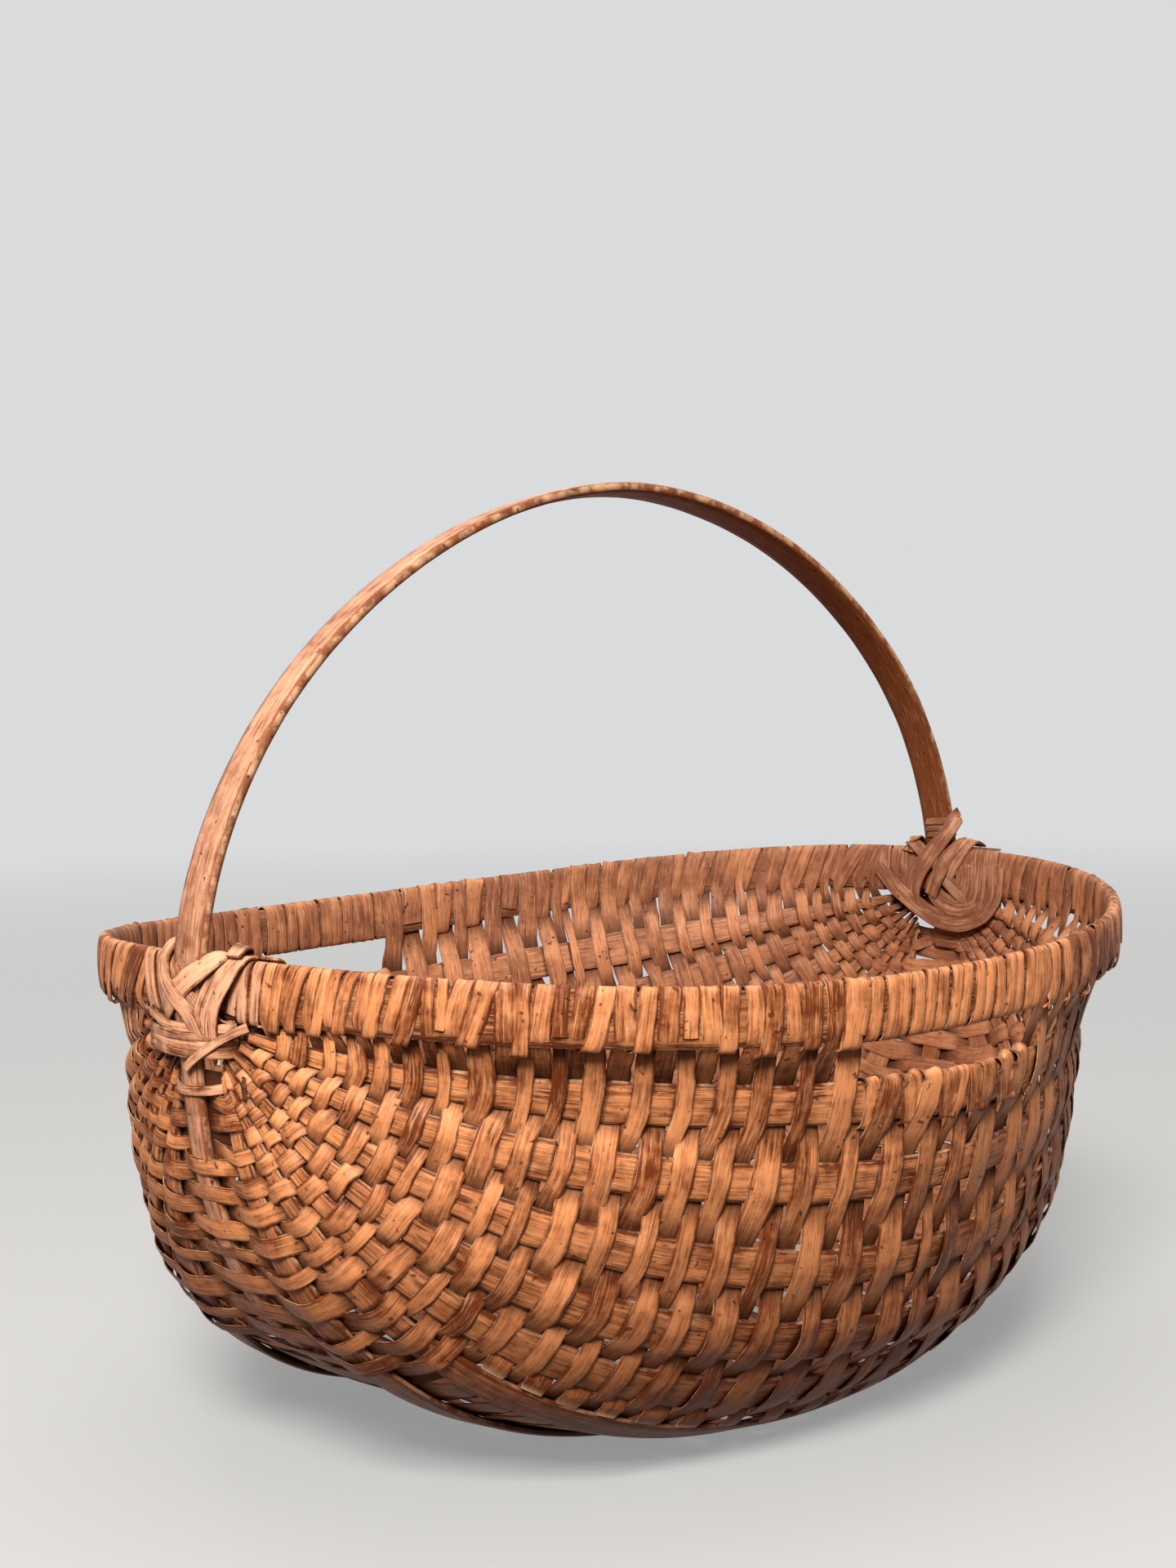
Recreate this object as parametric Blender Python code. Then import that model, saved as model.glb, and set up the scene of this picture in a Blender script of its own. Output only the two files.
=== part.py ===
"""A round-bottomed ribbed basket of split wood, standing on its two lowest ribs.

Two hoops cross at right angles at the ears: a level rim hoop, and a handle hoop that runs over the
top and on under the bowl as its spine. Seven ribs on each side fan out from each ear, flat strips
weave over and under them from rim to rim, and lashings tie the hoops together at the ears.

The X axis runs from ear to ear, Z is up, and Z = 0 is the surface that the basket stands on.
"""

import math

import bmesh
import bpy
from mathutils import Vector

MM = 0.001

# Hoops, measured to their middle lines from the point where they cross
RIM_HALF_LENGTH = 204 * MM
RIM_HALF_WIDTH = 162 * MM
RIM_SAG = 12 * MM
RIM_ROUNDNESS = 2.27
RIM_HEIGHT = 18.5 * MM
RIM_THICKNESS = 5 * MM
HOOP_HALF_LENGTH = 209 * MM
HANDLE_RISE = 164 * MM
HANDLE_ROUNDNESS = 1.87
HANDLE_WIDTH = 15 * MM
HANDLE_THICKNESS = 4.2 * MM
SPINE_DEPTH = 165 * MM
SPINE_ROUNDNESS = 2.8
SPINE_WIDTH = 11 * MM
SPINE_THICKNESS = 3 * MM
HOOP_CHAMFER = 1.2 * MM

# Ribs, from the rim down to the spine: distance from the middle plane and depth below the ears at
# mid length, roundness of the curve, and full width
RIBS = (
    (159 * MM, 44.5 * MM, 1.76, 14 * MM),
    (151 * MM, 72.5 * MM, 1.86, 13 * MM),
    (143 * MM, 103 * MM, 1.93, 13 * MM),
    (133 * MM, 129.5 * MM, 2.00, 15 * MM),
    (115 * MM, 150.5 * MM, 2.10, 15 * MM),
    (94 * MM, 166.5 * MM, 2.25, 16 * MM),
    (51 * MM, 172.5 * MM, 2.50, 15 * MM),
)
RIB_HALF_LENGTH = 204.5 * MM
RIB_EAR_SIDE = 14 * MM
RIB_EAR_DEPTH = 12 * MM
RIB_TIP_START = 18 * MM
RIB_THICKNESS = 2.5 * MM
RIB_TIP_THICKNESS = 1.0 * MM
RIB_FLAT_SHARE = 0.45
RIB_WIDTH_SHARE = 0.5

# Weave: rows counted from the left ear, each row crossing the bowl from rim to rim
ROWS = 39
ROWS_PER_STRIP = 3
HOOP_ROW_START = 48 * MM
RIB_ROW_START = 34 * MM
WEAVER_WIDTH = 11.2 * MM
WEAVER_THICKNESS = 0.8 * MM
GAP = 0.35 * MM
RIM_CLEARANCE = 0.5 * MM
RIM_LEG_DROP = 1.5 * MM
TURN_SHIFT = 0.12
FRONT_OPEN_ROWS = range(14, 22)
BACK_OPEN_ROWS = range(15, 21)
BARE_ROWS = range(11, 28)

# Lashings at the ears and the binding of the rim over the two open slots
LASHING_THICKNESS = 0.8 * MM
CROSS_WIDTH = 8 * MM
CROSS_CORNER = 13.5 * MM
CROSS_STEP = 1.2 * MM
COLLAR_BOTTOM = 17.5 * MM
COLLAR_TOP = 27 * MM
EAR_BAND_WIDTH = 9 * MM
EAR_BAND_ON_RIB = 22.8 * MM
EAR_BAND_ON_HOOP = 36 * MM
BINDING_PITCH = 10 * MM
BINDING_WIDTH = 8.6 * MM

FRONT_RIM, SPINE, BACK_RIM = 0, 8, 16
STANDING_RIBS = (7, 9)
LEFT, RIGHT = -1, 1

COLOURS = {
    "hoop": (0.36, 0.20, 0.11),
    "rib": (0.42, 0.23, 0.11),
    "weaver": (0.47, 0.27, 0.14),
    "lashing": (0.44, 0.26, 0.16),
}


def new_material(name, colour, roughness=0.55):
    material = bpy.data.materials.new(name)
    material.use_nodes = True
    shader = material.node_tree.nodes["Principled BSDF"]
    shader.inputs["Base Color"].default_value = (*colour, 1)
    shader.inputs["Roughness"].default_value = roughness
    shader.inputs["Metallic"].default_value = 0
    return material


def sweep(name, rings, colour, closed=False):
    """One solid strip from rings of points, which are measured from the height of the ears. A closed
    sweep joins its last ring to its first."""
    mesh = bpy.data.meshes.new(name)
    bm = bmesh.new()
    lift = Vector((0, 0, EAR_HEIGHT))
    loops = [[bm.verts.new(point + lift) for point in ring] for ring in rings]
    corners = len(rings[0])
    spans = len(loops) if closed else len(loops) - 1
    for i in range(spans):
        here, there = loops[i], loops[(i + 1) % len(loops)]
        for j in range(corners):
            k = (j + 1) % corners
            bm.faces.new((here[j], here[k], there[k], there[j]))
    if not closed:
        bm.faces.new(loops[0])
        bm.faces.new(loops[-1])
    bmesh.ops.recalc_face_normals(bm, faces=bm.faces)
    bm.to_mesh(mesh)
    bm.free()
    mesh.materials.append(new_material(name, COLOURS[colour]))
    piece = bpy.data.objects.new(name, mesh)
    bpy.context.collection.objects.link(piece)
    return piece


def power(value, exponent):
    return math.copysign(abs(value) ** exponent, value)


class Course:
    """A curve read by the distance along it, from the left ear to the right one."""

    STEPS = 600

    def __init__(self, point_at):
        self.points = [point_at(math.pi * (1 - i / self.STEPS)) for i in range(self.STEPS + 1)]
        self.reach = [0.0]
        for before, after in zip(self.points, self.points[1:]):
            self.reach.append(self.reach[-1] + (after - before).length)
        self.length = self.reach[-1]

    def at(self, distance):
        low, high = 0, self.STEPS
        while high - low > 1:
            middle = (low + high) // 2
            if self.reach[middle] <= distance:
                low = middle
            else:
                high = middle
        share = (distance - self.reach[low]) / (self.reach[high] - self.reach[low])
        return self.points[low].lerp(self.points[high], share)


def hoop_course(half_length, rise, roundness):
    def point_at(angle):
        x = half_length * power(math.cos(angle), 2 / roundness)
        return Vector((x, 0, rise * power(math.sin(angle), 2 / roundness)))

    return Course(point_at)


def rim_course(side):
    def point_at(angle):
        x = RIM_HALF_LENGTH * power(math.cos(angle), 2 / RIM_ROUNDNESS)
        y = side * RIM_HALF_WIDTH * power(math.sin(angle), 2 / RIM_ROUNDNESS)
        return Vector((x, y, -RIM_SAG * math.sin(angle) ** 2))

    return Course(point_at)


def rib_course(side, number):
    reach, depth, roundness, _ = RIBS[number - 1]

    def point_at(angle):
        spread = power(math.sin(angle), 2 / roundness)
        x = RIB_HALF_LENGTH * power(math.cos(angle), 2 / roundness)
        y = RIB_EAR_SIDE + (reach - RIB_EAR_SIDE) * spread
        z = RIB_EAR_DEPTH + (depth - RIB_EAR_DEPTH) * spread
        return Vector((x, side * y, -z))

    return Course(point_at)


def station_course(station):
    """The curves that the weave crosses, counted from the front rim over the spine to the back rim."""
    if station in (FRONT_RIM, BACK_RIM):
        return rim_course(-1 if station == FRONT_RIM else 1)
    if station == SPINE:
        return hoop_course(HOOP_HALF_LENGTH, -SPINE_DEPTH, SPINE_ROUNDNESS)
    if station < SPINE:
        return rib_course(-1, station)
    return rib_course(1, BACK_RIM - station)


STATIONS = range(FRONT_RIM, BACK_RIM + 1)
HOOPS = (FRONT_RIM, SPINE, BACK_RIM)
COURSES = {station: station_course(station) for station in STATIONS}

# A rib is straight under every pair of rows, and under the three middle ones, so that the strips lie
# flat on it. These are the row counts at which it bends.
HALF = ROWS // 2
BENDS = [row - 0.5 for row in range(0, HALF, 2)] + [row + 0.5 for row in range(HALF + 1, ROWS + 1, 2)]
FACETS = len(BENDS) - 1
MIDDLE_FACET = FACETS // 2


def row_distance(station, row):
    start = HOOP_ROW_START if station in HOOPS else RIB_ROW_START
    return start + (COURSES[station].length - 2 * start) * row / (ROWS - 1)


def tip_distances(station):
    """Where a course starts beyond its first bend, and the length that it leaves at its far end."""
    return (RIB_TIP_START,) if station not in HOOPS else (15 * MM, 30 * MM)


def course_distances(station):
    length = COURSES[station].length
    tips = list(tip_distances(station))
    middle = [row_distance(station, row) for row in BENDS]
    return tips + middle + [length - tip for tip in reversed(tips)]


KNOTS = {station: [COURSES[station].at(d) for d in course_distances(station)] for station in STATIONS}
FIRST_BEND = {station: len(tip_distances(station)) for station in STATIONS}


def span_direction(station, span):
    knots = KNOTS[station]
    return (knots[span + 1] - knots[span]).normalized()


def span_of_facet(station, facet):
    return FIRST_BEND[station] + facet


def row_facet(row):
    return next(i for i in range(FACETS) if BENDS[i] <= row < BENDS[i + 1])


def row_point(station, row):
    facet = row_facet(row)
    span = span_of_facet(station, facet)
    share = (row - BENDS[facet]) / (BENDS[facet + 1] - BENDS[facet])
    return KNOTS[station][span].lerp(KNOTS[station][span + 1], share)


def facet_middle(station, facet):
    span = span_of_facet(station, facet)
    return (KNOTS[station][span] + KNOTS[station][span + 1]) / 2


EAR_HEIGHT = RIB_THICKNESS / 2 - facet_middle(STANDING_RIBS[0], MIDDLE_FACET).z


def outward(station, facet):
    """The direction out of the bowl's wall at a station, over one facet; -1 and FACETS are its ends.
    The lowest ribs face straight down where the basket stands on them."""
    if station in STANDING_RIBS and facet == MIDDLE_FACET:
        return Vector((0, 0, -1))
    along = span_direction(station, span_of_facet(station, facet))
    if station in (FRONT_RIM, BACK_RIM):
        across = Vector((0, 0, 1 if station == BACK_RIM else -1))
    elif station == SPINE:
        across = Vector((0, 1, 0))
    else:
        across = facet_middle(station + 1, facet) - facet_middle(station - 1, facet)
    return across.cross(along).normalized()


def across_rib(station, facet):
    """The direction across a rib, towards the back rim, square to its length and to outward."""
    along = span_direction(station, span_of_facet(station, facet))
    return along.cross(outward(station, facet)).normalized()


def rib_spacing(station, facet):
    here = facet_middle(station, facet)
    gaps = []
    for step in (-1, 1):
        gap = (facet_middle(station + step, facet) - here).length
        if station + step in (FRONT_RIM, BACK_RIM):
            gap = min(gap, 2 * (gap - RIM_HEIGHT / 2 - RIM_LEG_DROP))
        gaps.append(gap)
    return min(gaps)


def rib_half_width(station, facet):
    number = station if station < SPINE else BACK_RIM - station
    return min(RIBS[number - 1][3], RIB_WIDTH_SHARE * rib_spacing(station, facet)) / 2


def rib_half_thickness(station, facet):
    full = 4.5 * MM
    share = min(1, rib_half_width(station, facet) / full)
    return (RIB_TIP_THICKNESS + (RIB_THICKNESS - RIB_TIP_THICKNESS) * share) / 2


def rib_offset(station, facet, side, beside):
    """How far out from a rib's middle a weaver must cross it, so that it clears the rib on its way to
    the points beside it."""
    flat, wide = RIB_FLAT_SHARE * rib_half_width(station, facet), rib_half_width(station, facet)
    clear = GAP + 0.55 * WEAVER_THICKNESS
    offset = rib_half_thickness(station, facet) + clear
    for point in beside:
        away = abs(point.dot(across_rib(station, facet)))
        level = point.dot(outward(station, facet)) * side
        for width, thickness in ((flat, rib_half_thickness(station, facet)), (wide, 0)):
            share = width / away
            offset = max(offset, (thickness + clear - level * share) / (1 - share))
    return offset


def mitred(centres, sides, corners, closed=False):
    """Rings for a flat strip: sides are its width directions, and corners its section's points as
    (across, out), where out is square to the strip's path and to its width."""
    rings = []
    count = len(centres)
    for i, (centre, side) in enumerate(zip(centres, sides)):
        before = centres[i - 1] if i or closed else None
        after = centres[(i + 1) % count] if i < count - 1 or closed else None
        come = (centre - before).normalized() if before else (after - centre).normalized()
        go = (after - centre).normalized() if after else come
        path = (come + go).normalized()
        out = path.cross(side).normalized()
        turn = max(0.35, path.dot(go))
        section = corners[i] if isinstance(corners[0], list) else corners
        rings.append([centre + side * across + out * (up / turn) for across, up in section])
    return rings


def strip_section(width, thickness):
    w, t = width / 2, thickness / 2
    return ((w, t), (-w, t), (-w, -t), (w, -t))


def chamfered_section(width, thickness, chamfer):
    w, t = width / 2, thickness / 2
    c = min(chamfer, t * 0.6)
    quarter = ((w, t - c), (w - c, t))
    points = list(quarter) + [(-x, y) for x, y in reversed(quarter)]
    return points + [(-x, -y) for x, y in quarter] + [(x, -y) for x, y in reversed(quarter)]


def rib_section(half_width, half_thickness):
    flat = RIB_FLAT_SHARE * half_width
    upper = [(half_width, 0), (flat, half_thickness), (-flat, half_thickness)]
    return upper + [(-half_width, 0), (-flat, -half_thickness), (flat, -half_thickness)]


def make_rim_hoop():
    front, back = KNOTS[FRONT_RIM], KNOTS[BACK_RIM]
    centres = front + list(reversed(back))
    section = chamfered_section(RIM_HEIGHT, RIM_THICKNESS, HOOP_CHAMFER)
    sides = [Vector((0, 0, 1))] * len(centres)
    return sweep("rim_hoop", mitred(centres, sides, section, closed=True), "hoop", closed=True)


def make_handle_hoop():
    upper_spans = 20
    ear_end = 24 * MM
    crown = hoop_course(HOOP_HALF_LENGTH, HANDLE_RISE, HANDLE_ROUNDNESS)
    step = (crown.length - 2 * ear_end) / upper_spans
    over = [crown.at(9 * MM)] + [crown.at(ear_end + step * i) for i in range(upper_spans + 1)]
    over.append(crown.at(crown.length - 9 * MM))
    under = list(reversed(KNOTS[SPINE]))
    handle = chamfered_section(HANDLE_WIDTH, HANDLE_THICKNESS, HOOP_CHAMFER)
    spine = chamfered_section(SPINE_WIDTH, SPINE_THICKNESS, HOOP_CHAMFER)
    centres = over + under
    sections = [handle] * (len(over) + 1) + [spine] * (len(under) - 2) + [handle]
    sides = [Vector((0, 1, 0))] * len(centres)
    return sweep("handle_hoop", mitred(centres, sides, sections, closed=True), "hoop", closed=True)


def make_rib(station):
    knots = KNOTS[station]
    number = station if station < SPINE else BACK_RIM - station
    place = "front" if station < SPINE else "back"
    rings = []
    for i, centre in enumerate(knots):
        facets = [min(max(i - FIRST_BEND[station] + step, -1), FACETS) for step in (-1, 0)]
        if MIDDLE_FACET in facets:
            facets = [MIDDLE_FACET]
        side = sum((across_rib(station, f) for f in facets), Vector()).normalized()
        out = sum((outward(station, f) for f in facets), Vector()).normalized()
        wide = sum(rib_half_width(station, f) for f in facets) / len(facets)
        thick = sum(rib_half_thickness(station, f) for f in facets) / len(facets)
        rings.append([centre + side * a + out * b for a, b in rib_section(wide, thick)])
    return sweep(f"rib_{place}_{number}", rings, "rib")


def row_side(row, station):
    """+1 where a row passes outside a station, and -1 where it passes inside."""
    return 1 if (row + station) % 2 == 0 else -1


def crossing_side(row, station):
    bare = station in (6, 7, 9, 10) and row in BARE_ROWS
    return -1 if bare else row_side(row, station)


def row_vertex(row, station, offset):
    facet = row_facet(row)
    shift = outward(station, facet) * (offset * crossing_side(row, station))
    return row_point(station, row) + shift, span_direction(station, span_of_facet(station, facet))


def spine_vertices(row):
    middle, along = row_vertex(row, SPINE, SPINE_THICKNESS / 2 + GAP + WEAVER_THICKNESS / 2)
    reach = SPINE_WIDTH / 2 + GAP
    return [(middle + Vector((0, y, 0)), along) for y in (-reach, reach)]


def row_body(row, first, last):
    """A row's crossings from one station to another, always in order from the front rim."""
    vertices = []
    for station in range(first, last + 1):
        if station == SPINE:
            vertices += spine_vertices(row)
        else:
            vertices.append(row_vertex(row, station, OFFSETS[row, station]))
    return vertices


def is_open(row, rim):
    return row in (FRONT_OPEN_ROWS if rim == FRONT_RIM else BACK_OPEN_ROWS)


RIM_PASS_BOTTOM = -(RIM_HEIGHT / 2 + RIM_LEG_DROP)
RIM_PASS_TOP = RIM_HEIGHT / 2 + RIM_CLEARANCE + WEAVER_THICKNESS / 2
RIM_PASS_SHOULDER = RIM_HEIGHT / 2 - 0.9 * MM
RIM_PASS_CREST = RIM_THICKNESS / 2 - 0.6 * MM


def rim_pass(row, rim, sign, height, crest=False):
    """A point of a strip that runs beside the rim, or over its top, at a row."""
    facet = row_facet(row)
    level = Vector((0, 0, height))
    reach = RIM_PASS_CREST if crest else RIM_THICKNESS / 2 + RIM_CLEARANCE + WEAVER_THICKNESS / 2
    point = row_point(rim, row) + outward(rim, facet) * (sign * reach) + level
    return point, span_direction(rim, span_of_facet(rim, facet))


def rim_leg(row, rim, sign, turning):
    """From below the rim up one side of it. turning is the row count that it leans to, or None."""
    lean = row if turning is None else row + (turning - row) * TURN_SHIFT
    leg = [rim_pass(row, rim, sign, RIM_PASS_BOTTOM), rim_pass(lean, rim, sign, RIM_PASS_SHOULDER)]
    if turning is not None:
        leg.append(rim_pass(lean, rim, sign, RIM_PASS_TOP, crest=True))
    return leg


def point_beside(row, station, towards, offsets):
    """The next point of a row's path from a rib, as seen from the rib's middle line."""
    neighbour = station + towards
    if neighbour in (FRONT_RIM, BACK_RIM):
        if is_open(row, neighbour):
            return None
        point = rim_pass(row, neighbour, row_side(row, neighbour), RIM_PASS_BOTTOM)[0]
    elif neighbour == SPINE:
        point = spine_vertices(row)[0 if towards > 0 else 1][0]
    else:
        point = row_vertex(row, neighbour, offsets[row, neighbour])[0]
    return point - row_point(station, row)


def settled_offsets():
    """Offsets of every row at every rib, each found from the ones beside it until they settle."""
    ribs = [station for station in STATIONS if station not in HOOPS]
    offsets = {(row, station): 2 * MM for row in range(ROWS) for station in ribs}
    for _ in range(6):
        for row, station in offsets:
            beside = [point_beside(row, station, towards, offsets) for towards in (-1, 1)]
            beside = [point for point in beside if point]
            side = crossing_side(row, station)
            offsets[row, station] = rib_offset(station, row_facet(row), side, beside)
    return offsets


def slot_turn(row, rib, sign, turning):
    """Where the rim stands free, a strip turns over the top rib instead."""
    facet = row_facet(row)
    towards_rim = -1 if rib < SPINE else 1
    up = across_rib(rib, facet) * towards_rim
    out = outward(rib, facet)
    along = span_direction(rib, span_of_facet(rib, facet))
    base = row_point(rib, row)
    wide = rib_half_width(rib, facet)
    offset = OFFSETS[row, rib]
    if turning is None:
        return [(base + out * (sign * offset) + up * wide, along)]
    lean = row_point(rib, row + (turning - row) * TURN_SHIFT)
    crest = lean + up * (wide + 1.4 * MM) + out * (sign * 0.9 * MM)
    return [(base + out * (sign * offset) + up * (0.2 * wide), along), (crest, along)]


def row_end(row, rim, turning):
    """A row's last stretch at a rim, from its outermost rib to its end or to the next row."""
    if is_open(row, rim):
        rib = rim + 1 if rim == FRONT_RIM else rim - 1
        return slot_turn(row, rib, row_side(row, rib), turning)
    return rim_leg(row, rim, row_side(row, rim), turning)


OFFSETS = settled_offsets()


def whole_row(row, enter_turn, leave_turn, start_rim):
    """All vertices of one row, from start_rim to the other rim. The turns name the rows joined to it."""
    first = FRONT_RIM + 1
    last = BACK_RIM - 1
    front_turn = enter_turn if start_rim == FRONT_RIM else leave_turn
    back_turn = leave_turn if start_rim == FRONT_RIM else enter_turn
    if is_open(row, FRONT_RIM):
        first += 1 if front_turn is not None else 0
    if is_open(row, BACK_RIM):
        last -= 1 if back_turn is not None else 0
    front = list(reversed(row_end(row, FRONT_RIM, front_turn)))
    back = row_end(row, BACK_RIM, back_turn)
    vertices = front + row_body(row, first, last) + back
    return vertices if start_rim == FRONT_RIM else list(reversed(vertices))


def make_weaver(number):
    """One strip that crosses the bowl several times, turning over the rim after each row."""
    rows = range(number * ROWS_PER_STRIP, (number + 1) * ROWS_PER_STRIP)
    vertices = []
    for row in rows:
        start_rim = BACK_RIM if row % 2 == 0 else FRONT_RIM
        enter_turn = row - 1 if row > rows[0] else None
        leave_turn = row + 1 if row < rows[-1] else None
        vertices += whole_row(row, enter_turn, leave_turn, start_rim)
    centres = [point for point, _ in vertices]
    sides = [along for _, along in vertices]
    section = strip_section(WEAVER_WIDTH, WEAVER_THICKNESS)
    return sweep(f"weaver_{number + 1:02d}", mitred(centres, sides, section), "weaver")


def make_ear_band(end):
    """The strip round the rib tips at an ear: outside them all, over the rim, and back inside."""
    facet = -1 if end == LEFT else FACETS
    half = LASHING_THICKNESS / 2

    def spot(station):
        course = COURSES[station]
        reach = EAR_BAND_ON_HOOP if station in HOOPS else EAR_BAND_ON_RIB
        return course.at(reach if end == LEFT else course.length - reach)

    def side_of(station):
        return span_direction(station, span_of_facet(station, facet))

    def rim_side(rim, sign):
        reach = RIM_THICKNESS / 2 + RIM_CLEARANCE + half
        out, along = outward(rim, facet), side_of(rim)
        crest = spot(rim) + out * (sign * RIM_PASS_CREST) + Vector((0, 0, RIM_PASS_TOP))
        heights = (RIM_PASS_BOTTOM, RIM_PASS_SHOULDER)
        sides = [(spot(rim) + out * (sign * reach) + Vector((0, 0, z)), along) for z in heights]
        return sides + [(crest, along)]

    def beside_rib(station, sign):
        reach = rib_half_thickness(station, facet) + GAP + half
        return spot(station) + outward(station, facet) * (sign * reach), side_of(station)

    def round_spine():
        reach = SPINE_THICKNESS / 2 + 2 * GAP + half
        middle = spot(SPINE) + outward(SPINE, facet) * reach
        width = SPINE_WIDTH / 2 + GAP
        return [(middle + Vector((0, y, 0)), side_of(SPINE)) for y in (-width, width)]

    front_ribs = range(FRONT_RIM + 1, SPINE)
    back_ribs = range(SPINE + 1, BACK_RIM)
    loop = list(reversed(rim_side(FRONT_RIM, 1)))
    loop += [beside_rib(station, 1) for station in front_ribs]
    loop += round_spine()
    loop += [beside_rib(station, 1) for station in back_ribs]
    loop += rim_side(BACK_RIM, 1) + list(reversed(rim_side(BACK_RIM, -1)))
    loop += [beside_rib(station, -1) for station in reversed(back_ribs)]
    loop += [beside_rib(station, -1) for station in reversed(front_ribs)]
    loop += rim_side(FRONT_RIM, -1)
    centres = [point for point, _ in loop]
    sides = [along for _, along in loop]
    section = strip_section(EAR_BAND_WIDTH, LASHING_THICKNESS)
    name = "ear_band_left" if end == LEFT else "ear_band_right"
    return sweep(name, mitred(centres, sides, section, closed=True), "lashing", closed=True)


def make_ear_cross(end, slant):
    """One of the two flat loops that cross over the joint of the hoops."""
    half = LASHING_THICKNESS / 2
    layer = CROSS_STEP if slant < 0 else 0
    outer = HOOP_HALF_LENGTH + HANDLE_THICKNESS / 2 + GAP + half + layer
    inner = abs(KNOTS[FRONT_RIM][0].x) - RIM_THICKNESS / 2 - GAP - half - layer
    corner = CROSS_CORNER
    places = ((outer, -corner), (outer, corner), (inner, corner), (inner, -corner))
    centres = [Vector((end * x, slant * c, c)) for x, c in places]
    side = Vector((0, -slant, 1)).normalized()
    section = strip_section(CROSS_WIDTH, LASHING_THICKNESS)
    rings = mitred(centres, [side] * len(centres), section, closed=True)
    letter = "a" if slant > 0 else "b"
    place = "left" if end == LEFT else "right"
    return sweep(f"ear_cross_{letter}_{place}", rings, "lashing", closed=True)


def make_ear_collar(end):
    """The wrapping round the foot of the handle."""
    crown = hoop_course(HOOP_HALF_LENGTH, HANDLE_RISE, HANDLE_ROUNDNESS)
    low, high = crown.at(COLLAR_BOTTOM), crown.at(COLLAR_TOP)
    middle = (low + high) / 2
    up = (high - low).normalized()
    inward = Vector((0, 1, 0)).cross(up)
    reach_x = HANDLE_THICKNESS / 2 + 2 * GAP + LASHING_THICKNESS / 2
    reach_y = HANDLE_WIDTH / 2 + GAP + LASHING_THICKNESS / 2
    places = ((-1, -1), (1, -1), (1, 1), (-1, 1))
    centres = [middle + inward * (a * reach_x) + Vector((0, b * reach_y, 0)) for a, b in places]
    if end == RIGHT:
        centres = [Vector((-c.x, c.y, c.z)) for c in centres]
        up = Vector((-up.x, up.y, up.z))
    section = strip_section(COLLAR_TOP - COLLAR_BOTTOM, LASHING_THICKNESS)
    name = "ear_collar_left" if end == LEFT else "ear_collar_right"
    return sweep(name, mitred(centres, [up] * 4, section, closed=True), "lashing", closed=True)


def make_rim_binding(rim, open_rows):
    """The strip wound round the free stretch of the rim above an open slot."""
    first, last = open_rows[0] - 0.1, open_rows[-1] + 0.1
    length = row_distance(rim, last) - row_distance(rim, first)
    turns = round(length / BINDING_PITCH)
    bottom = -RIM_HEIGHT / 2 - RIM_CLEARANCE - WEAVER_THICKNESS / 2
    corners = ((-1, bottom), (-1, RIM_PASS_TOP), (1, RIM_PASS_TOP), (1, bottom))
    vertices = []
    for i in range(turns * len(corners)):
        row = first + (last - first) * (i + 0.5) / (turns * len(corners))
        sign, height = corners[i % len(corners)]
        vertices.append(rim_pass(row, rim, sign, height))
    centres = [point for point, _ in vertices]
    sides = [along for _, along in vertices]
    section = strip_section(BINDING_WIDTH, WEAVER_THICKNESS)
    name = "rim_binding_front" if rim == FRONT_RIM else "rim_binding_back"
    return sweep(name, mitred(centres, sides, section), "weaver")


def main():
    for old in list(bpy.data.objects):
        bpy.data.objects.remove(old, do_unlink=True)
    make_rim_hoop()
    make_handle_hoop()
    for station in STATIONS:
        if station not in HOOPS:
            make_rib(station)
    for number in range(ROWS // ROWS_PER_STRIP):
        make_weaver(number)
    for end in (LEFT, RIGHT):
        make_ear_band(end)
        make_ear_collar(end)
        for slant in (1, -1):
            make_ear_cross(end, slant)
    make_rim_binding(FRONT_RIM, FRONT_OPEN_ROWS)
    make_rim_binding(BACK_RIM, BACK_OPEN_ROWS)


main()
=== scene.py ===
# %% [markdown]
# # An old ribbed basket of split wood
# Two hoops, fourteen ribs and a weave of thin split strips, darkened by a century of hands. The packed
# CAD model is the fixed frame. Every piece here is laid along the same curves as the CAD, only finer,
# and stands in for the CAD node that it names.

# %% Load the frame
from math import cos, pi, radians, sin

import bpy
import numpy as np
from mathutils import Matrix, Vector


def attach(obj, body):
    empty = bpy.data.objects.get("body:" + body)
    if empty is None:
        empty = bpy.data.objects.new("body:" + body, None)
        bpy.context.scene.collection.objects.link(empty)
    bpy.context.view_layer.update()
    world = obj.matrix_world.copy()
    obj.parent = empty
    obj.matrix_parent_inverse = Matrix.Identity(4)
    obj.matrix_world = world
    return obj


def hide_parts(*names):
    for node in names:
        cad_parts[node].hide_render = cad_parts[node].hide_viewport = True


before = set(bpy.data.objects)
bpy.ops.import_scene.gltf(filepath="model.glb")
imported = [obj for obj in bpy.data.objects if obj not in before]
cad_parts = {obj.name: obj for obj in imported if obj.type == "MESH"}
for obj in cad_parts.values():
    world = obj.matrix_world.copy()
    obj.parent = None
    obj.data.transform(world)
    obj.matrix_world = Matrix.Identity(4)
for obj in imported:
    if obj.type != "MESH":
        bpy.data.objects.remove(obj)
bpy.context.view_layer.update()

print("CAD nodes:", len(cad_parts))

# %% [markdown]
# ## The camera
# The photograph was taken a little above the rim, from in front of the left ear. The camera's place was
# found by fitting the outlines of the hoops. It is set first, so that each piece can be judged as it is
# made.

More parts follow.
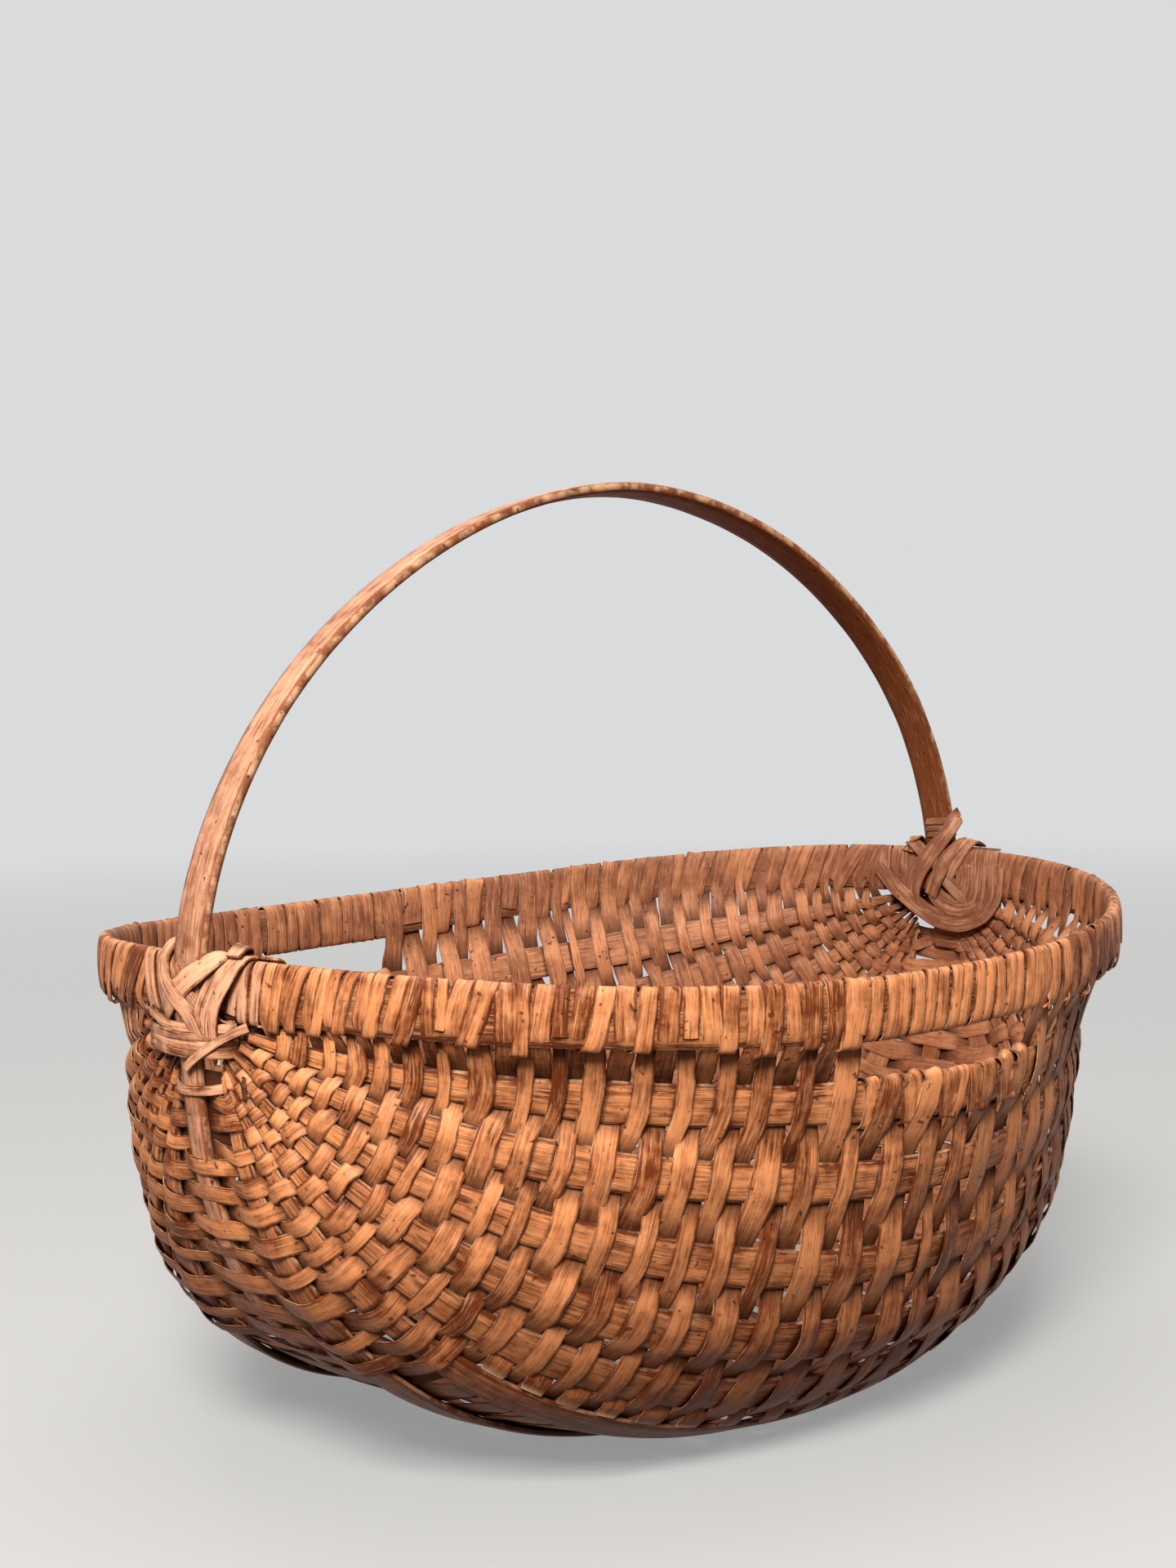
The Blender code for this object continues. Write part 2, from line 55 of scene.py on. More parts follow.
# %% Camera
EAR_HEIGHT = 173.527   # mm from the table to the point where the hoops cross
camera_data = bpy.data.cameras.new("camera")
camera_data.lens = 52.0
camera_data.sensor_width = 36.0
camera_data.clip_start = 0.01
camera = bpy.data.objects.new("camera", camera_data)
bpy.context.scene.collection.objects.link(camera)
eye = (-0.6390, -0.5834, EAR_HEIGHT / 1000 + 0.1107)
yaw, pitch, roll = radians(46.556), radians(-3.884), radians(-1.170)
ahead = Vector((sin(yaw) * cos(pitch), cos(yaw) * cos(pitch), sin(pitch)))
level_right = Vector((cos(yaw), -sin(yaw), 0))
level_up = level_right.cross(ahead)
right = level_right * cos(roll) + level_up * sin(roll)
up = level_up * cos(roll) - level_right * sin(roll)
camera.matrix_world = Matrix((
    (right.x, up.x, -ahead.x, eye[0]),
    (right.y, up.y, -ahead.y, eye[1]),
    (right.z, up.z, -ahead.z, eye[2]),
    (0, 0, 0, 1)))
bpy.context.scene.camera = camera
print("camera at", [round(v, 3) for v in camera.location])

# %% [markdown]
# ## The curves that everything follows
# Each hoop and rib is half of a rounded oval, from the left ear to the right one. A curve is kept as
# many points with the distance along it, so that a place on it is found by its distance from the ear.
# Sizes here are in millimetres, measured from the height of the ears, until a mesh is made.

# %% Curves of the hoops and ribs
RIM_FRONT, SPINE, RIM_BACK = 0, 8, 16
HOOPS = {RIM_FRONT: (0, 0, -1), SPINE: (0, 1, 0), RIM_BACK: (0, 0, 1)}      # the direction across each
# half length, reach and roundness of the rim, of the spine, and of the handle's arch
RIM_OVAL, SPINE_OVAL, CROWN_OVAL = (204, 162, 2.27), (209, 165, 2.8), (209, 164, 1.87)
RIM_HEIGHT, RIM_THICKNESS = 18.5, 3.8
RIM_REACH = 2.6        # from the middle of the rim hoop to the middle of a strip wound round it
RIM_SAG = 12           # how much lower the rim lies at the middle of the long sides
HANDLE_THICKNESS = 4.0
RIB_HALF_LENGTH, RIB_THICKNESS = 204.5, 2.5
RIBS = (   # reach from the middle, depth, roundness, half width
    (159, 44.5, 1.76, 7.1), (151, 72.5, 1.86, 6.7), (143, 103, 1.93, 6.6), (133, 129.5, 2.00, 7.9),
    (115, 150.5, 2.10, 7.9), (94, 166.5, 2.25, 8.1), (51, 172.5, 2.50, 7.7))
angles = np.linspace(pi, 0, 1201)
COS, SIN = np.cos(angles), np.abs(np.sin(angles))


def oval(half_length, reach, roundness):
    """Half of a rounded oval: how far lengthwise and how far outwards each of its points lies."""
    exponent = 2 / roundness
    return half_length * np.sign(COS) * np.abs(COS) ** exponent, reach * SIN ** exponent


def measured(x, y, z):
    """A curve: the distances along it, and its points."""
    points = np.stack([x, y, z], axis=-1)
    steps = np.linalg.norm(np.diff(points, axis=0), axis=1)
    return np.concatenate([[0], np.cumsum(steps)]), points


def rib_number(station):
    """1 for the top rib of either side, down to 7 beside the spine."""
    return min(station, RIM_BACK - station)


def course(station):
    """Curve number 0 is the front rim, 1 to 7 the front ribs, 8 the spine, and so on to 16."""
    side = -1 if station < SPINE else 1
    if station == SPINE:
        x, depth = oval(*SPINE_OVAL)
        return measured(x, 0 * SIN, -depth)
    if station in HOOPS:
        x, y = oval(*RIM_OVAL)
        return measured(x, side * y, -RIM_SAG * SIN ** 2)
    above = rib_number(station) - 1
    reach, depth, roundness, _ = RIBS[above]
    x, spread = oval(RIB_HALF_LENGTH, 1, roundness)
    tip_y, tip_z = 14.5 - 0.6 * above, 12 + 2.7 * above      # the tips lie one under the other
    return measured(x, side * (tip_y + (reach - tip_y) * spread), -(tip_z + (depth - tip_z) * spread))


courses = [course(station) for station in range(RIM_BACK + 1)]
lengths = [reach[-1] for reach, _ in courses]
print("rim half", round(lengths[0]), "mm, spine", round(lengths[SPINE]), "mm")


def on_curve(curve, distance):
    reach, points = curve
    return np.array([np.interp(distance, reach, points[:, i]) for i in range(3)])


def place(station, distance):
    return on_curve(courses[station], distance)


def unit(vector):
    return vector / max(np.linalg.norm(vector), 1e-9)


# %% [markdown]
# ## Places of the rows
# A place counts from the left ear, and on every curve it stands for a share of the length, so that the
# rows fan out from the ears. The strips are narrow near the ears, where they crowd, and twice as wide in
# the middle. Their widths are drawn first, with a seed, and their places follow side by side.

# %% Widths and places of the rows
ROWS, FIRST, LAST, MIDDLE = 82, -1.45, 39.45, 19
NARROW_ROWS = (13, 27, 39, 54, 68)
PLACES_FROM_MIDDLE = (0, 4, 7, 10, 14, 18, 20.5)
USUAL_WIDTHS = (0.70, 0.66, 0.61, 0.53, 0.47, 0.35, 0.28)
HOOP_START, RIB_START, RIB_STEP = 48, 36.3, 2.3      # mm from the ear to place 0
draw = np.random.default_rng(41)

row_place, widths = np.zeros(ROWS), np.zeros(ROWS)
at = FIRST
for row in range(ROWS):
    usual = np.interp(abs(at - MIDDLE), PLACES_FROM_MIDDLE, USUAL_WIDTHS)
    widths[row] = usual * (1 + 0.10 * sin(row * 0.9 + 1) + draw.uniform(-0.22, 0.22))
    if row in NARROW_ROWS:
        widths[row] *= 0.72
    row_place[row] = at + widths[row] / 2
    at += widths[row]
shrink = (LAST - FIRST) / (at - FIRST)
row_place = FIRST + (row_place - FIRST) * shrink
widths *= shrink
row_phase = draw.uniform(0, 6.28, (ROWS, 4))
row_tone = np.clip(draw.normal(0.5, 0.24, ROWS), 0.02, 0.98)
print("rows", ROWS, "scaled by", round(shrink, 3))


def distance_of(station, row_at):
    start = HOOP_START if station in HOOPS else RIB_START - RIB_STEP * rib_number(station)
    return start + (lengths[station] - 2 * start) * row_at / (2 * MIDDLE)


def pitch_of(station):
    return distance_of(station, 1) - distance_of(station, 0)


print("pitch on each curve:", [round(pitch_of(s), 1) for s in range(9)])

# %% [markdown]
# At each crossing the wall of the bowl has a direction along the curve, one across it and one out. The
# same little frame places the ribs, the strips on them and the turns round the rim.

# %% The wall's frame
def wall(station, row_at):
    """Point, direction along the curve, direction across it and direction out of the bowl."""
    distance = distance_of(station, row_at)
    point = place(station, distance)
    along = unit(place(station, distance + 1) - place(station, distance - 1))
    if station in HOOPS:
        across = np.array(HOOPS[station], float)
    else:
        across = place(station + 1, distance_of(station + 1, row_at))
        across = across - place(station - 1, distance_of(station - 1, row_at))
    out = unit(np.cross(across, along))
    return point, along, unit(np.cross(along, out)), out


def spacing(station, row_at):
    """Distance to the nearer neighbour, counting from the rim hoop's edge."""
    here = place(station, distance_of(station, row_at))
    gaps = []
    for other in (station - 1, station + 1):
        gap = np.linalg.norm(place(other, distance_of(other, row_at)) - here)
        if other in (RIM_FRONT, RIM_BACK):
            gap = min(gap, 2 * (gap - RIM_HEIGHT / 2 - 1))
        gaps.append(max(gap, 1.5))
    return min(gaps)


def rib_half_width(station, row_at):
    """Half of a rib's width, less where its neighbours come close."""
    return min(RIBS[rib_number(station) - 1][3], 0.32 * spacing(station, row_at))


# %% [markdown]
# ## Laying a flat strip along a path
# A split strip could be a curve with a flat profile, but a curve's profile twists where the path turns
# round the rim. So a strip is a long flat grid, moved to its path one cross row at a time, with its width
# direction given at each corner of the path. Cutting the corners twice rounds them. Solidify then gives
# the strip its thickness, less of it at the edges. The UV map holds true distances, for the grain.

# %% Strip helper
HALF_WIDTH, WORN, EXPOSED, TONE, SWELL = range(6, 11)      # what a corner says after its place and side
STRIP = (-1, -0.93, -0.8, 0, 0.8, 0.93, 1)                 # places of the lengthwise lines of a strip
SMOOTH_BELOW = radians(50)


def control(point, side, half_width, worn=0.0, exposed=0.0, tone=0.5, swell=1.0):
    """A corner of a path: where, which way the strip's width lies, half its width, how worn it is,
    whether its outward (+1) or inward (-1) face is the one that hands and light reach, its tone, and how
    much its middle swells."""
    return np.concatenate([point, side, [half_width, worn, exposed, tone, swell]])


def rounded(path, times):
    for _ in range(times):
        cut = np.empty((2 * len(path) - 2, path.shape[1]))
        cut[0::2] = 0.75 * path[:-1] + 0.25 * path[1:]
        cut[1::2] = 0.25 * path[:-1] + 0.75 * path[1:]
        path = np.concatenate([path[:1], cut, path[-1:]])
    return path


def cross_sections(path, closed):
    """Centres and width directions of a path, the directions made square to it."""
    centres, sides = path[:, :3], path[:, 3:6]
    come = np.diff(centres, axis=0)
    come /= np.maximum(np.linalg.norm(come, axis=1), 1e-6)[:, None]
    going = np.empty_like(centres)
    going[1:-1] = come[:-1] + come[1:]
    going[0], going[-1] = (come[0] + come[-1],) * 2 if closed else (come[0], come[-1])
    going /= np.maximum(np.linalg.norm(going, axis=1), 1e-6)[:, None]
    sides = sides - going * (sides * going).sum(1)[:, None]
    return centres, sides / np.maximum(np.linalg.norm(sides, axis=1), 1e-6)[:, None]


def lay_grid(name, path, across=STRIP, closed=False, start=0.0, ragged=0.0, cup=0.0):
    """A flat grid laid along path, whose rows are controls. start is where its grain begins, ragged how
    much its edges waver and cup how far its middle swells out."""
    if closed:
        path = np.concatenate([path, path[:1]])
    centres, sides = cross_sections(path, closed)
    reach = start + np.concatenate([[0], np.cumsum(np.linalg.norm(np.diff(centres, axis=0), axis=1))])

    bpy.ops.mesh.primitive_grid_add(x_subdivisions=len(across) - 1, y_subdivisions=len(path) - 1, size=1)
    strip = bpy.context.object
    strip.name = name
    mesh = strip.data
    flat = np.empty(len(mesh.vertices) * 3)
    mesh.vertices.foreach_get("co", flat)
    flat = flat.reshape(-1, 3)
    column = np.rint((flat[:, 0] + 0.5) * (len(across) - 1)).astype(int)
    ring = np.rint((flat[:, 1] + 0.5) * (len(path) - 1)).astype(int)
    share = np.array(across, float)[column]
    wave = np.where(share > 0, np.sin(0.61 * reach[ring]) + np.sin(0.23 * reach[ring] + 1),
                    np.sin(0.47 * reach[ring] + 2) + np.sin(0.17 * reach[ring]))
    half = path[ring, HALF_WIDTH] * (1 + 0.5 * ragged * wave)
    laid = centres[ring] + sides[ring] * (share * half)[:, None]
    face = np.cross(np.gradient(centres, axis=0), sides)
    face /= np.maximum(np.linalg.norm(face, axis=1), 1e-6)[:, None]
    from_middle = centres / np.linalg.norm(centres, axis=1)[:, None]
    swell = cup * path[:, SWELL] * path[:, EXPOSED] * np.clip(3 * (face * from_middle).sum(1), -1, 1)
    laid += face[ring] * (swell[ring] * (1 - share ** 2))[:, None]
    laid[:, 2] += EAR_HEIGHT
    mesh.vertices.foreach_set("co", (laid / 1000).ravel())

    corner_vertex = np.empty(len(mesh.loops), int)
    mesh.loops.foreach_get("vertex_index", corner_vertex)
    grain = np.stack([share * half, reach[ring]], axis=1)[corner_vertex] / 1000
    mesh.uv_layers.active.data.foreach_set("uv", grain.ravel())
    for title, values in (("worn", path[ring, WORN]), ("exposed", path[ring, EXPOSED]),
                          ("tone", path[ring, TONE]), ("edge", np.abs(share))):
        mesh.attributes.new(title, "FLOAT", "POINT").data.foreach_set("value", np.asarray(values, float))
    full = strip.vertex_groups.new(name="full_thickness")
    for low, high, weight in ((-1, 0.85, 1.0), (0.85, 0.96, 0.7)):
        inner = np.flatnonzero((np.abs(share) > low) & (np.abs(share) < high))
        full.add(inner.tolist(), weight, "REPLACE")
    mesh.update()
    return strip


def select(*pieces):
    bpy.ops.object.select_all(action="DESELECT")
    for piece in pieces:
        piece.select_set(True)
    bpy.context.view_layer.objects.active = pieces[0]


def thicken(strip, thickness, edge_share=0.4):
    """Solidify, thinner at the edges, applied."""
    select(strip)
    solid = strip.modifiers.new("thickness", "SOLIDIFY")
    solid.thickness = thickness / 1000
    solid.offset = 0
    solid.use_even_offset = False
    solid.vertex_group = "full_thickness"
    solid.thickness_vertex_group = edge_share
    bpy.ops.object.modifier_apply(modifier=solid.name)
    for vertex in strip.data.vertices:      # worn flat where it stands on the table
        vertex.co.z = max(vertex.co.z, 0.0)
    bpy.ops.object.shade_smooth_by_angle(angle=SMOOTH_BELOW)
    strip.vertex_groups.clear()
    return strip


def join(strips, name):
    select(*strips)
    if len(strips) > 1:
        bpy.ops.object.join()
    strips[0].name = name
    strips[0].data.name = name
    return strips[0]


def place_piece(piece, material, slot, *replaced):
    piece.data.materials.clear()
    piece.data.materials.append(material)
    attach(piece, "root")
    if replaced:
        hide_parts(*replaced)


# %% [markdown]
# ## The wood
# All the strips are the same old split wood. One shader group makes its look: fine streaks and broader
# bands along the strip, stains that wander over the whole basket, small dark specks, painted shade along
# the edges, darker wood low down, painted shade with dirt in the places that hands and light never reach,
# painted light on faces that look up, pale edges that are part cut wood and part painted highlight,
# painted shade on inner faces near the ears, a duller inside that on the handle is painted shade, and
# paler wood where a strip is torn. Each material places the group with its own colours. The helpers only
# keep the node code short.

# %% Node helpers
def node(tree, kind, **settings):
    made = tree.nodes.new(kind)
    for key, value in settings.items():
        setattr(made, key, value)
    return made


def feed(tree, made, values):
    """Give a node's inputs, by number or name, a value or a link."""
    for key, value in dict(values).items():
        socket = made.inputs[key]
        if isinstance(value, (int, float)):
            socket.default_value = value
        elif isinstance(value, tuple):
            socket.default_value = value if len(socket.default_value) == len(value) else (*value, 1)
        else:
            tree.links.new(value, socket)


def outlet(tree, kind, values, output=0, **settings):
    made = node(tree, kind, **settings)
    feed(tree, made, values)
    return made.outputs[output]


def maths(tree, operation, *values, clamp=False):
    return outlet(tree, "ShaderNodeMath", enumerate(values), operation=operation, use_clamp=clamp)


def product(tree, first, second):
    return maths(tree, "MULTIPLY", first, second)


def vector_maths(tree, operation, *values, output=0):
    return outlet(tree, "ShaderNodeVectorMath", enumerate(values), output, operation=operation)


def mixed(tree, share, first, second):
    return outlet(tree, "ShaderNodeMix", {0: share, 6: first, 7: second}, 2, data_type="RGBA")


def ranged(tree, value, low, high, out_low=0.0, out_high=1.0):
    return outlet(tree, "ShaderNodeMapRange", enumerate((value, low, high, out_low, out_high)))


def noise(tree, vector, scale, detail=3.0, stretch=(1, 1, 1)):
    scaled = outlet(tree, "ShaderNodeMapping", {"Scale": stretch, "Vector": vector})
    return outlet(tree, "ShaderNodeTexNoise", {"Scale": scale, "Detail": detail, "Roughness": 0.62,
                                             "Vector": scaled})


def parts_of(tree, vector):
    made = node(tree, "ShaderNodeSeparateXYZ")
    feed(tree, made, {0: vector})
    return made.outputs


# %% Old split wood group
def build_wood_group():
    group = bpy.data.node_groups.new("old split wood", "ShaderNodeTree")
    for name, kind in (("Light", "Color"), ("Dark", "Color"), ("Inside", "Color"), ("Inside share", "Float"),
                       ("Streaks", "Float"), ("Tone spread", "Float"), ("Shade and dirt", "Float")):
        group.interface.new_socket(name, in_out="INPUT", socket_type="NodeSocket" + kind)
    for name, kind in (("Color", "Color"), ("Roughness", "Float"), ("Height", "Float")):
        group.interface.new_socket(name, in_out="OUTPUT", socket_type="NodeSocket" + kind)
    enter = group.nodes.new("NodeGroupInput").outputs
    leave = group.nodes.new("NodeGroupOutput")
    coordinates = node(group, "ShaderNodeTexCoord")
    lengthwise, where, normal = (coordinates.outputs[name] for name in ("UV", "Object", "Normal"))
    tone, worn, exposed, edge = (node(group, "ShaderNodeAttribute", attribute_name=name).outputs["Fac"]
                                 for name in ("tone", "worn", "exposed", "edge"))

    fine = noise(group, lengthwise, 1.0, 3.0, (1700, 60, 1))
    broad = noise(group, lengthwise, 1.0, 3.0, (430, 38, 1))
    streaks = maths(group, "ADD", product(group, fine, 0.45), product(group, broad, 0.55))
    fibres = noise(group, lengthwise, 1.0, 2.0, (1300, 85, 1))
    patches = noise(group, where, 130.0, 4.0)
    stains = noise(group, where, 11.0, 3.0)
    specks = noise(group, where, 330.0, 1.0)

    from_middle = vector_maths(group, "NORMALIZE", vector_maths(group, "SUBTRACT", where, (0.0, 0.0, 0.15)))
    facing = vector_maths(group, "DOT_PRODUCT", normal, from_middle, output=1)
    outward = ranged(group, facing, -0.35, 0.35, -1, 1)
    reached = product(group, outward, exposed)
    # painted shade with dirt: dark where a face is hidden, where a strip or rib dives behind another
    shade_and_dirt = product(group, ranged(group, reached, -0.85, 0.30, 1.0, 0.0), enter["Shade and dirt"])

    level = ranged(group, streaks, 0.38, 0.62, -0.5, 0.5)
    level = maths(group, "MULTIPLY_ADD", level, enter["Streaks"], 0.55)
    own_tone = product(group, maths(group, "SUBTRACT", tone, 0.5), enter["Tone spread"])
    for more in (own_tone, ranged(group, patches, 0.34, 0.66, -0.34, 0.34),
                 ranged(group, stains, 0.35, 0.65, -0.20, 0.20)):
        level = maths(group, "ADD", level, more)
    # painted shade: the level drops towards each strip's edges
    level = maths(group, "SUBTRACT", level, ranged(group, edge, 0.76, 0.93, 0.0, 0.75), clamp=True)

    _, _, up_way = parts_of(group, normal)
    lengthwise_place, _, height = parts_of(group, where)
    # painted light: faces that look up are mixed towards a pale pink
    painted_top_light = product(group, ranged(group, up_way, 0.25, 0.95, 0.0, 0.30), level)
    # inner faces mixed towards the Inside colour: a duller inside, which on the handle is painted shade
    inside = product(group, ranged(group, outward, 0.2, -0.8), enter["Inside share"])
    # the very edges of a strip go pale: partly lighter cut wood, partly painted highlight
    pale_edge_highlight_and_cut_wood = product(group, ranged(group, edge, 0.93, 1.0, 0.0, 0.55),
                     ranged(group, patches, 0.45, 0.58))
    # painted shade on inner faces near the ears
    painted_shade_near_ears = ranged(group, maths(group, "ABSOLUTE", lengthwise_place), 0.09, 0.20, 0.0, 0.38)
    corner = product(group, painted_shade_near_ears, ranged(group, outward, 0.2, -0.6))
    # darker towards the bottom, scaled by the shade-and-dirt strength
    low_down = product(group, ranged(group, height, 0.12, 0.0, 0.0, 0.88), enter["Shade and dirt"])
    colour = mixed(group, level, enter["Dark"], enter["Light"])
    for share, tint in (
            # painted light on faces that look up
            (painted_top_light, (0.86, 0.50, 0.31)),
            # duller inner faces; on the handle this is painted shade
            (inside, enter["Inside"]),
            (ranged(group, fibres, 0.56, 0.68, 0.0, 0.50), (0.92, 0.50, 0.24)),      # pale fibres
            # pale edges: part cut wood, part painted highlight
            (pale_edge_highlight_and_cut_wood, (0.90, 0.55, 0.32)),
            (ranged(group, specks, 0.70, 0.76, 0.0, 0.8), (0.045, 0.012, 0.004)),
            (ranged(group, fibres, 0.42, 0.30, 0.0, 0.60), (0.075, 0.016, 0.005)),   # dark fibres
            # painted shade on inner faces near the ears
            (corner, (0.10, 0.026, 0.010)),
            (low_down, (0.085, 0.017, 0.004)),
            # painted shade with dirt in the hidden places
            (shade_and_dirt, (0.050, 0.012, 0.004)),
            (worn, (0.78, 0.50, 0.30))):
        colour = mixed(group, share, colour, tint)
    matt = ranged(group, streaks, 0.3, 0.7, 0.58, 0.40)
    rough = maths(group, "ADD", matt, product(group, shade_and_dirt, 0.25))
    feed(group, leave, {"Color": colour, "Roughness": rough, "Height": streaks})
    return group


wood_group = build_wood_group()


def wood(name, light, dark, streaks, tone_spread, shade_and_dirt=0.85, bump=0.4, inside=(0.52, 0.24, 0.14),
         inside_share=0.4):
    material = bpy.data.materials.new(name)
    material.use_nodes = True
    tree = material.node_tree
    grain = node(tree, "ShaderNodeGroup", node_tree=wood_group)
    feed(tree, grain, {"Light": light, "Dark": dark, "Inside": inside, "Inside share": inside_share,
                       "Streaks": streaks, "Tone spread": tone_spread, "Shade and dirt": shade_and_dirt})
    colour, rough, height = grain.outputs
    relief = outlet(tree, "ShaderNodeBump", {"Strength": bump, "Distance": 0.0004, "Height": height})
    feed(tree, tree.nodes["Principled BSDF"], {"Base Color": colour, "Roughness": rough, "Normal": relief,
                                               "Specular IOR Level": 0.14})
    return material


weave_wood = wood("woven strip wood", (0.86, 0.33, 0.13), (0.17, 0.036, 0.008), 0.70, 0.95, shade_and_dirt=0.95)
rib_wood = wood("rib wood", (0.82, 0.31, 0.12), (0.14, 0.030, 0.008), 0.95, 0.35, shade_and_dirt=1.0, bump=0.6)
# The handle's inner face is mixed strongly towards a dark brown: painted shade.
hoop_wood = wood("handle wood", (0.78, 0.38, 0.23), (0.26, 0.085, 0.036), 0.7, 0.1, shade_and_dirt=0.3,
                 inside=(0.34, 0.09, 0.016), inside_share=0.85)
lashing_wood = wood("lashing wood", (0.92, 0.45, 0.26), (0.17, 0.042, 0.014), 1.0, 0.9, bump=0.7)
print("four woods from one group")

# %% [markdown]
# ## The rim hoop
# The rim is a stout flat hoop, and the weave hides nearly all of it. Its path is closed, so its last
# cross row is merged with its first before it gets its thickness.

# %% Rim hoop
HOOP = (-1, -0.9, -0.5, 0, 0.5, 0.9, 1)
UP, ACROSS = np.array([0, 0, 1.0]), np.array([0, 1.0, 0])


def closed_hoop(name, path, thickness, edge_share):
    hoop = lay_grid(name, path, across=HOOP, closed=True)
    select(hoop)
    bpy.ops.object.mode_set(mode="EDIT")
    bpy.ops.mesh.select_all(action="SELECT")
    bpy.ops.mesh.remove_doubles(threshold=0.00002)
    bpy.ops.object.mode_set(mode="OBJECT")
    return thicken(hoop, thickness, edge_share)


rim_path = []
corner_room = 9        # mm left out at each ear, where the hoop rounds the end of the oval
for rim, order in ((RIM_FRONT, 1), (RIM_BACK, -1)):
    distances = np.linspace(corner_room, lengths[rim] - corner_room, 120)[::order]
    rim_path += [control(place(rim, d), UP, RIM_HEIGHT / 2 - 0.4, tone=0.0) for d in distances]
rim_core = closed_hoop("rim_core", np.array(rim_path), RIM_THICKNESS, 0.55)
place_piece(rim_core, rib_wood, "hoop_wood", "rim_hoop")
print("rim core:", len(rim_core.data.polygons), "faces")

# %% [markdown]
# ## The handle and the spine
# One strip makes the whole upright hoop: wide over the top, where the hand holds it, and shaved narrower
# below the rim, where it is the spine of the bowl. It was split and shaved by hand, so its width and its
# line waver a little, and it dried a little out of true.

# %% Handle hoop
HANDLE_HALF_WIDTH, TWIST = 7.45, 0.12
WITHIN_ARCH = 0.9972      # the twisted handle is kept just inside the arch of the CAD
crown_x, crown_z = oval(*CROWN_OVAL)
crown = measured(crown_x, 0 * SIN, crown_z)
crown_length = crown[0][-1]


def crown_point(distance):
    return on_curve(crown, distance)


handle_path = []
for d in np.linspace(2, crown_length - 2, 220):
    twist = TWIST * min(1, d / 80, (crown_length - d) / 80)
    width_way = ACROSS - twist * unit(crown_point(d))
    sway = 0.25 * sin(d / 43) + 0.15 * sin(d / 17 + 1)
    half = HANDLE_HALF_WIDTH + 0.16 * sin(d / 29) + 0.10 * sin(d / 11 + 2)
    half = min(half + 0.06 * sin(d / 4.1), HANDLE_HALF_WIDTH)
    point = crown_point(d) * WITHIN_ARCH
    reached = 1 if point[2] > 12 else 0.4      # hands and light reach it above the lashings, so it gets less painted shade and dirt there
    handle_path.append(control(point + np.array([0, sway, 0]), width_way, half, exposed=reached))
for d in np.linspace(lengths[SPINE] - 6, 6, 200):
    half = np.interp(min(d, lengths[SPINE] - d), (4, 26), (7.4, 4.2))
    handle_path.append(control(place(SPINE, d), ACROSS, half, exposed=0.6))
handle = closed_hoop("handle", np.array(handle_path), HANDLE_THICKNESS, 0.5)
place_piece(handle, hoop_wood, "hoop_wood", "handle_hoop")
print("handle:", len(handle.data.polygons), "faces")

# %% [markdown]
# ## Which side a row passes
# Plain weave: each row goes outside one curve and inside the next, and the following row does the
# opposite. On the bottom the two lowest ribs of each side are bare, because the strips outside them wore
# away. The first few rows at each ear all pass behind the spine.

# %% Sides of the crossings
FRONT_SLOT, BACK_SLOT = (13.5, 21.5), (14.5, 20.5)
BARE = (7.0, 31.0)
CLEAR_OF_EARS = (0.25, 37.75)


def in_slot(row, rim):
    """Whether a row turns in the slot below this rim. Both rows of a turn have to agree."""
    low, high = FRONT_SLOT if rim == RIM_FRONT else BACK_SLOT
    partner = row + 1 if (row % 2 == 0) == (rim == RIM_FRONT) else row - 1
    partner = min(max(partner, 0), ROWS - 1)
    return low < (row_place[row] + row_place[partner]) / 2 < high


def is_bare(row, station):
    return station in (6, 7, 9, 10) and BARE[0] < row_place[row] < BARE[1]


def side_of(row, station):
    behind_spine = station == SPINE and not CLEAR_OF_EARS[0] < row_place[row] < CLEAR_OF_EARS[1]
    if behind_spine or is_bare(row, station):
        return -1
    return 1 if (row + station) % 2 == 0 else -1


def rib_exposure(station, row_at):
    """Which face of a rib shows between the rows here, from the nearest row's side."""
    nearest = int(np.argmin(np.abs(row_place - row_at)))
    off = abs(row_place[nearest] - row_at) / (0.5 * widths[nearest])
    return -side_of(nearest, station) * max(0.0, 1 - 0.75 * off ** 3)


# %% [markdown]
# ## The ribs
# Ribs are flat split lengths, rounded at the edges and pointed at the ears. Each is laid along its curve,
# square to the wall, and narrows where its neighbours come close.

# %% Ribs
RIB = (-1, -0.82, -0.4, 0, 0.4, 0.82, 1)
RIB_TIPS = (-1.95, 39.95)


def rib_path(station, tone):
    path = []
    for row_at in np.linspace(*RIB_TIPS, 420):
        point, _, across, _ = wall(station, row_at)
        ripple = 1 + 0.035 * sin(row_at * 1.9 + station) + 0.03 * sin(row_at * 0.7 + 2 * station)
        half = max(rib_half_width(station, row_at) * ripple, 0.8)
        path.append(control(point, across, half, exposed=rib_exposure(station, row_at), tone=tone))
    return np.array(path)


for station in range(1, RIM_BACK):
    if station == SPINE:
        continue
    name = f"rib_{'front' if station < SPINE else 'back'}_{rib_number(station)}"
    path = rib_path(station, draw.uniform(0.25, 0.75))
    rib = lay_grid(f"{name}_wood", path, RIB, start=700 * station)
    thicken(rib, RIB_THICKNESS, 0.45)
    place_piece(rib, rib_wood, "rib_wood", name)
print("14 ribs laid")

# %% [markdown]
# ## The weave
# A strip lies flat on a rib for part of the rib's width, then leans over to the next one. Two corner
# points at each crossing say so, and rounding does the rest. Where the ribs stand on a sharp bend of the
# wall, the strip is held off a little more, so that it doesn't cut into the rib.

# %% Crossings
STRIP_HALF_THICKNESS = 0.3
SPINE_GRIP = 1.5       # strips press on the spine, so this is a little less than half its thickness


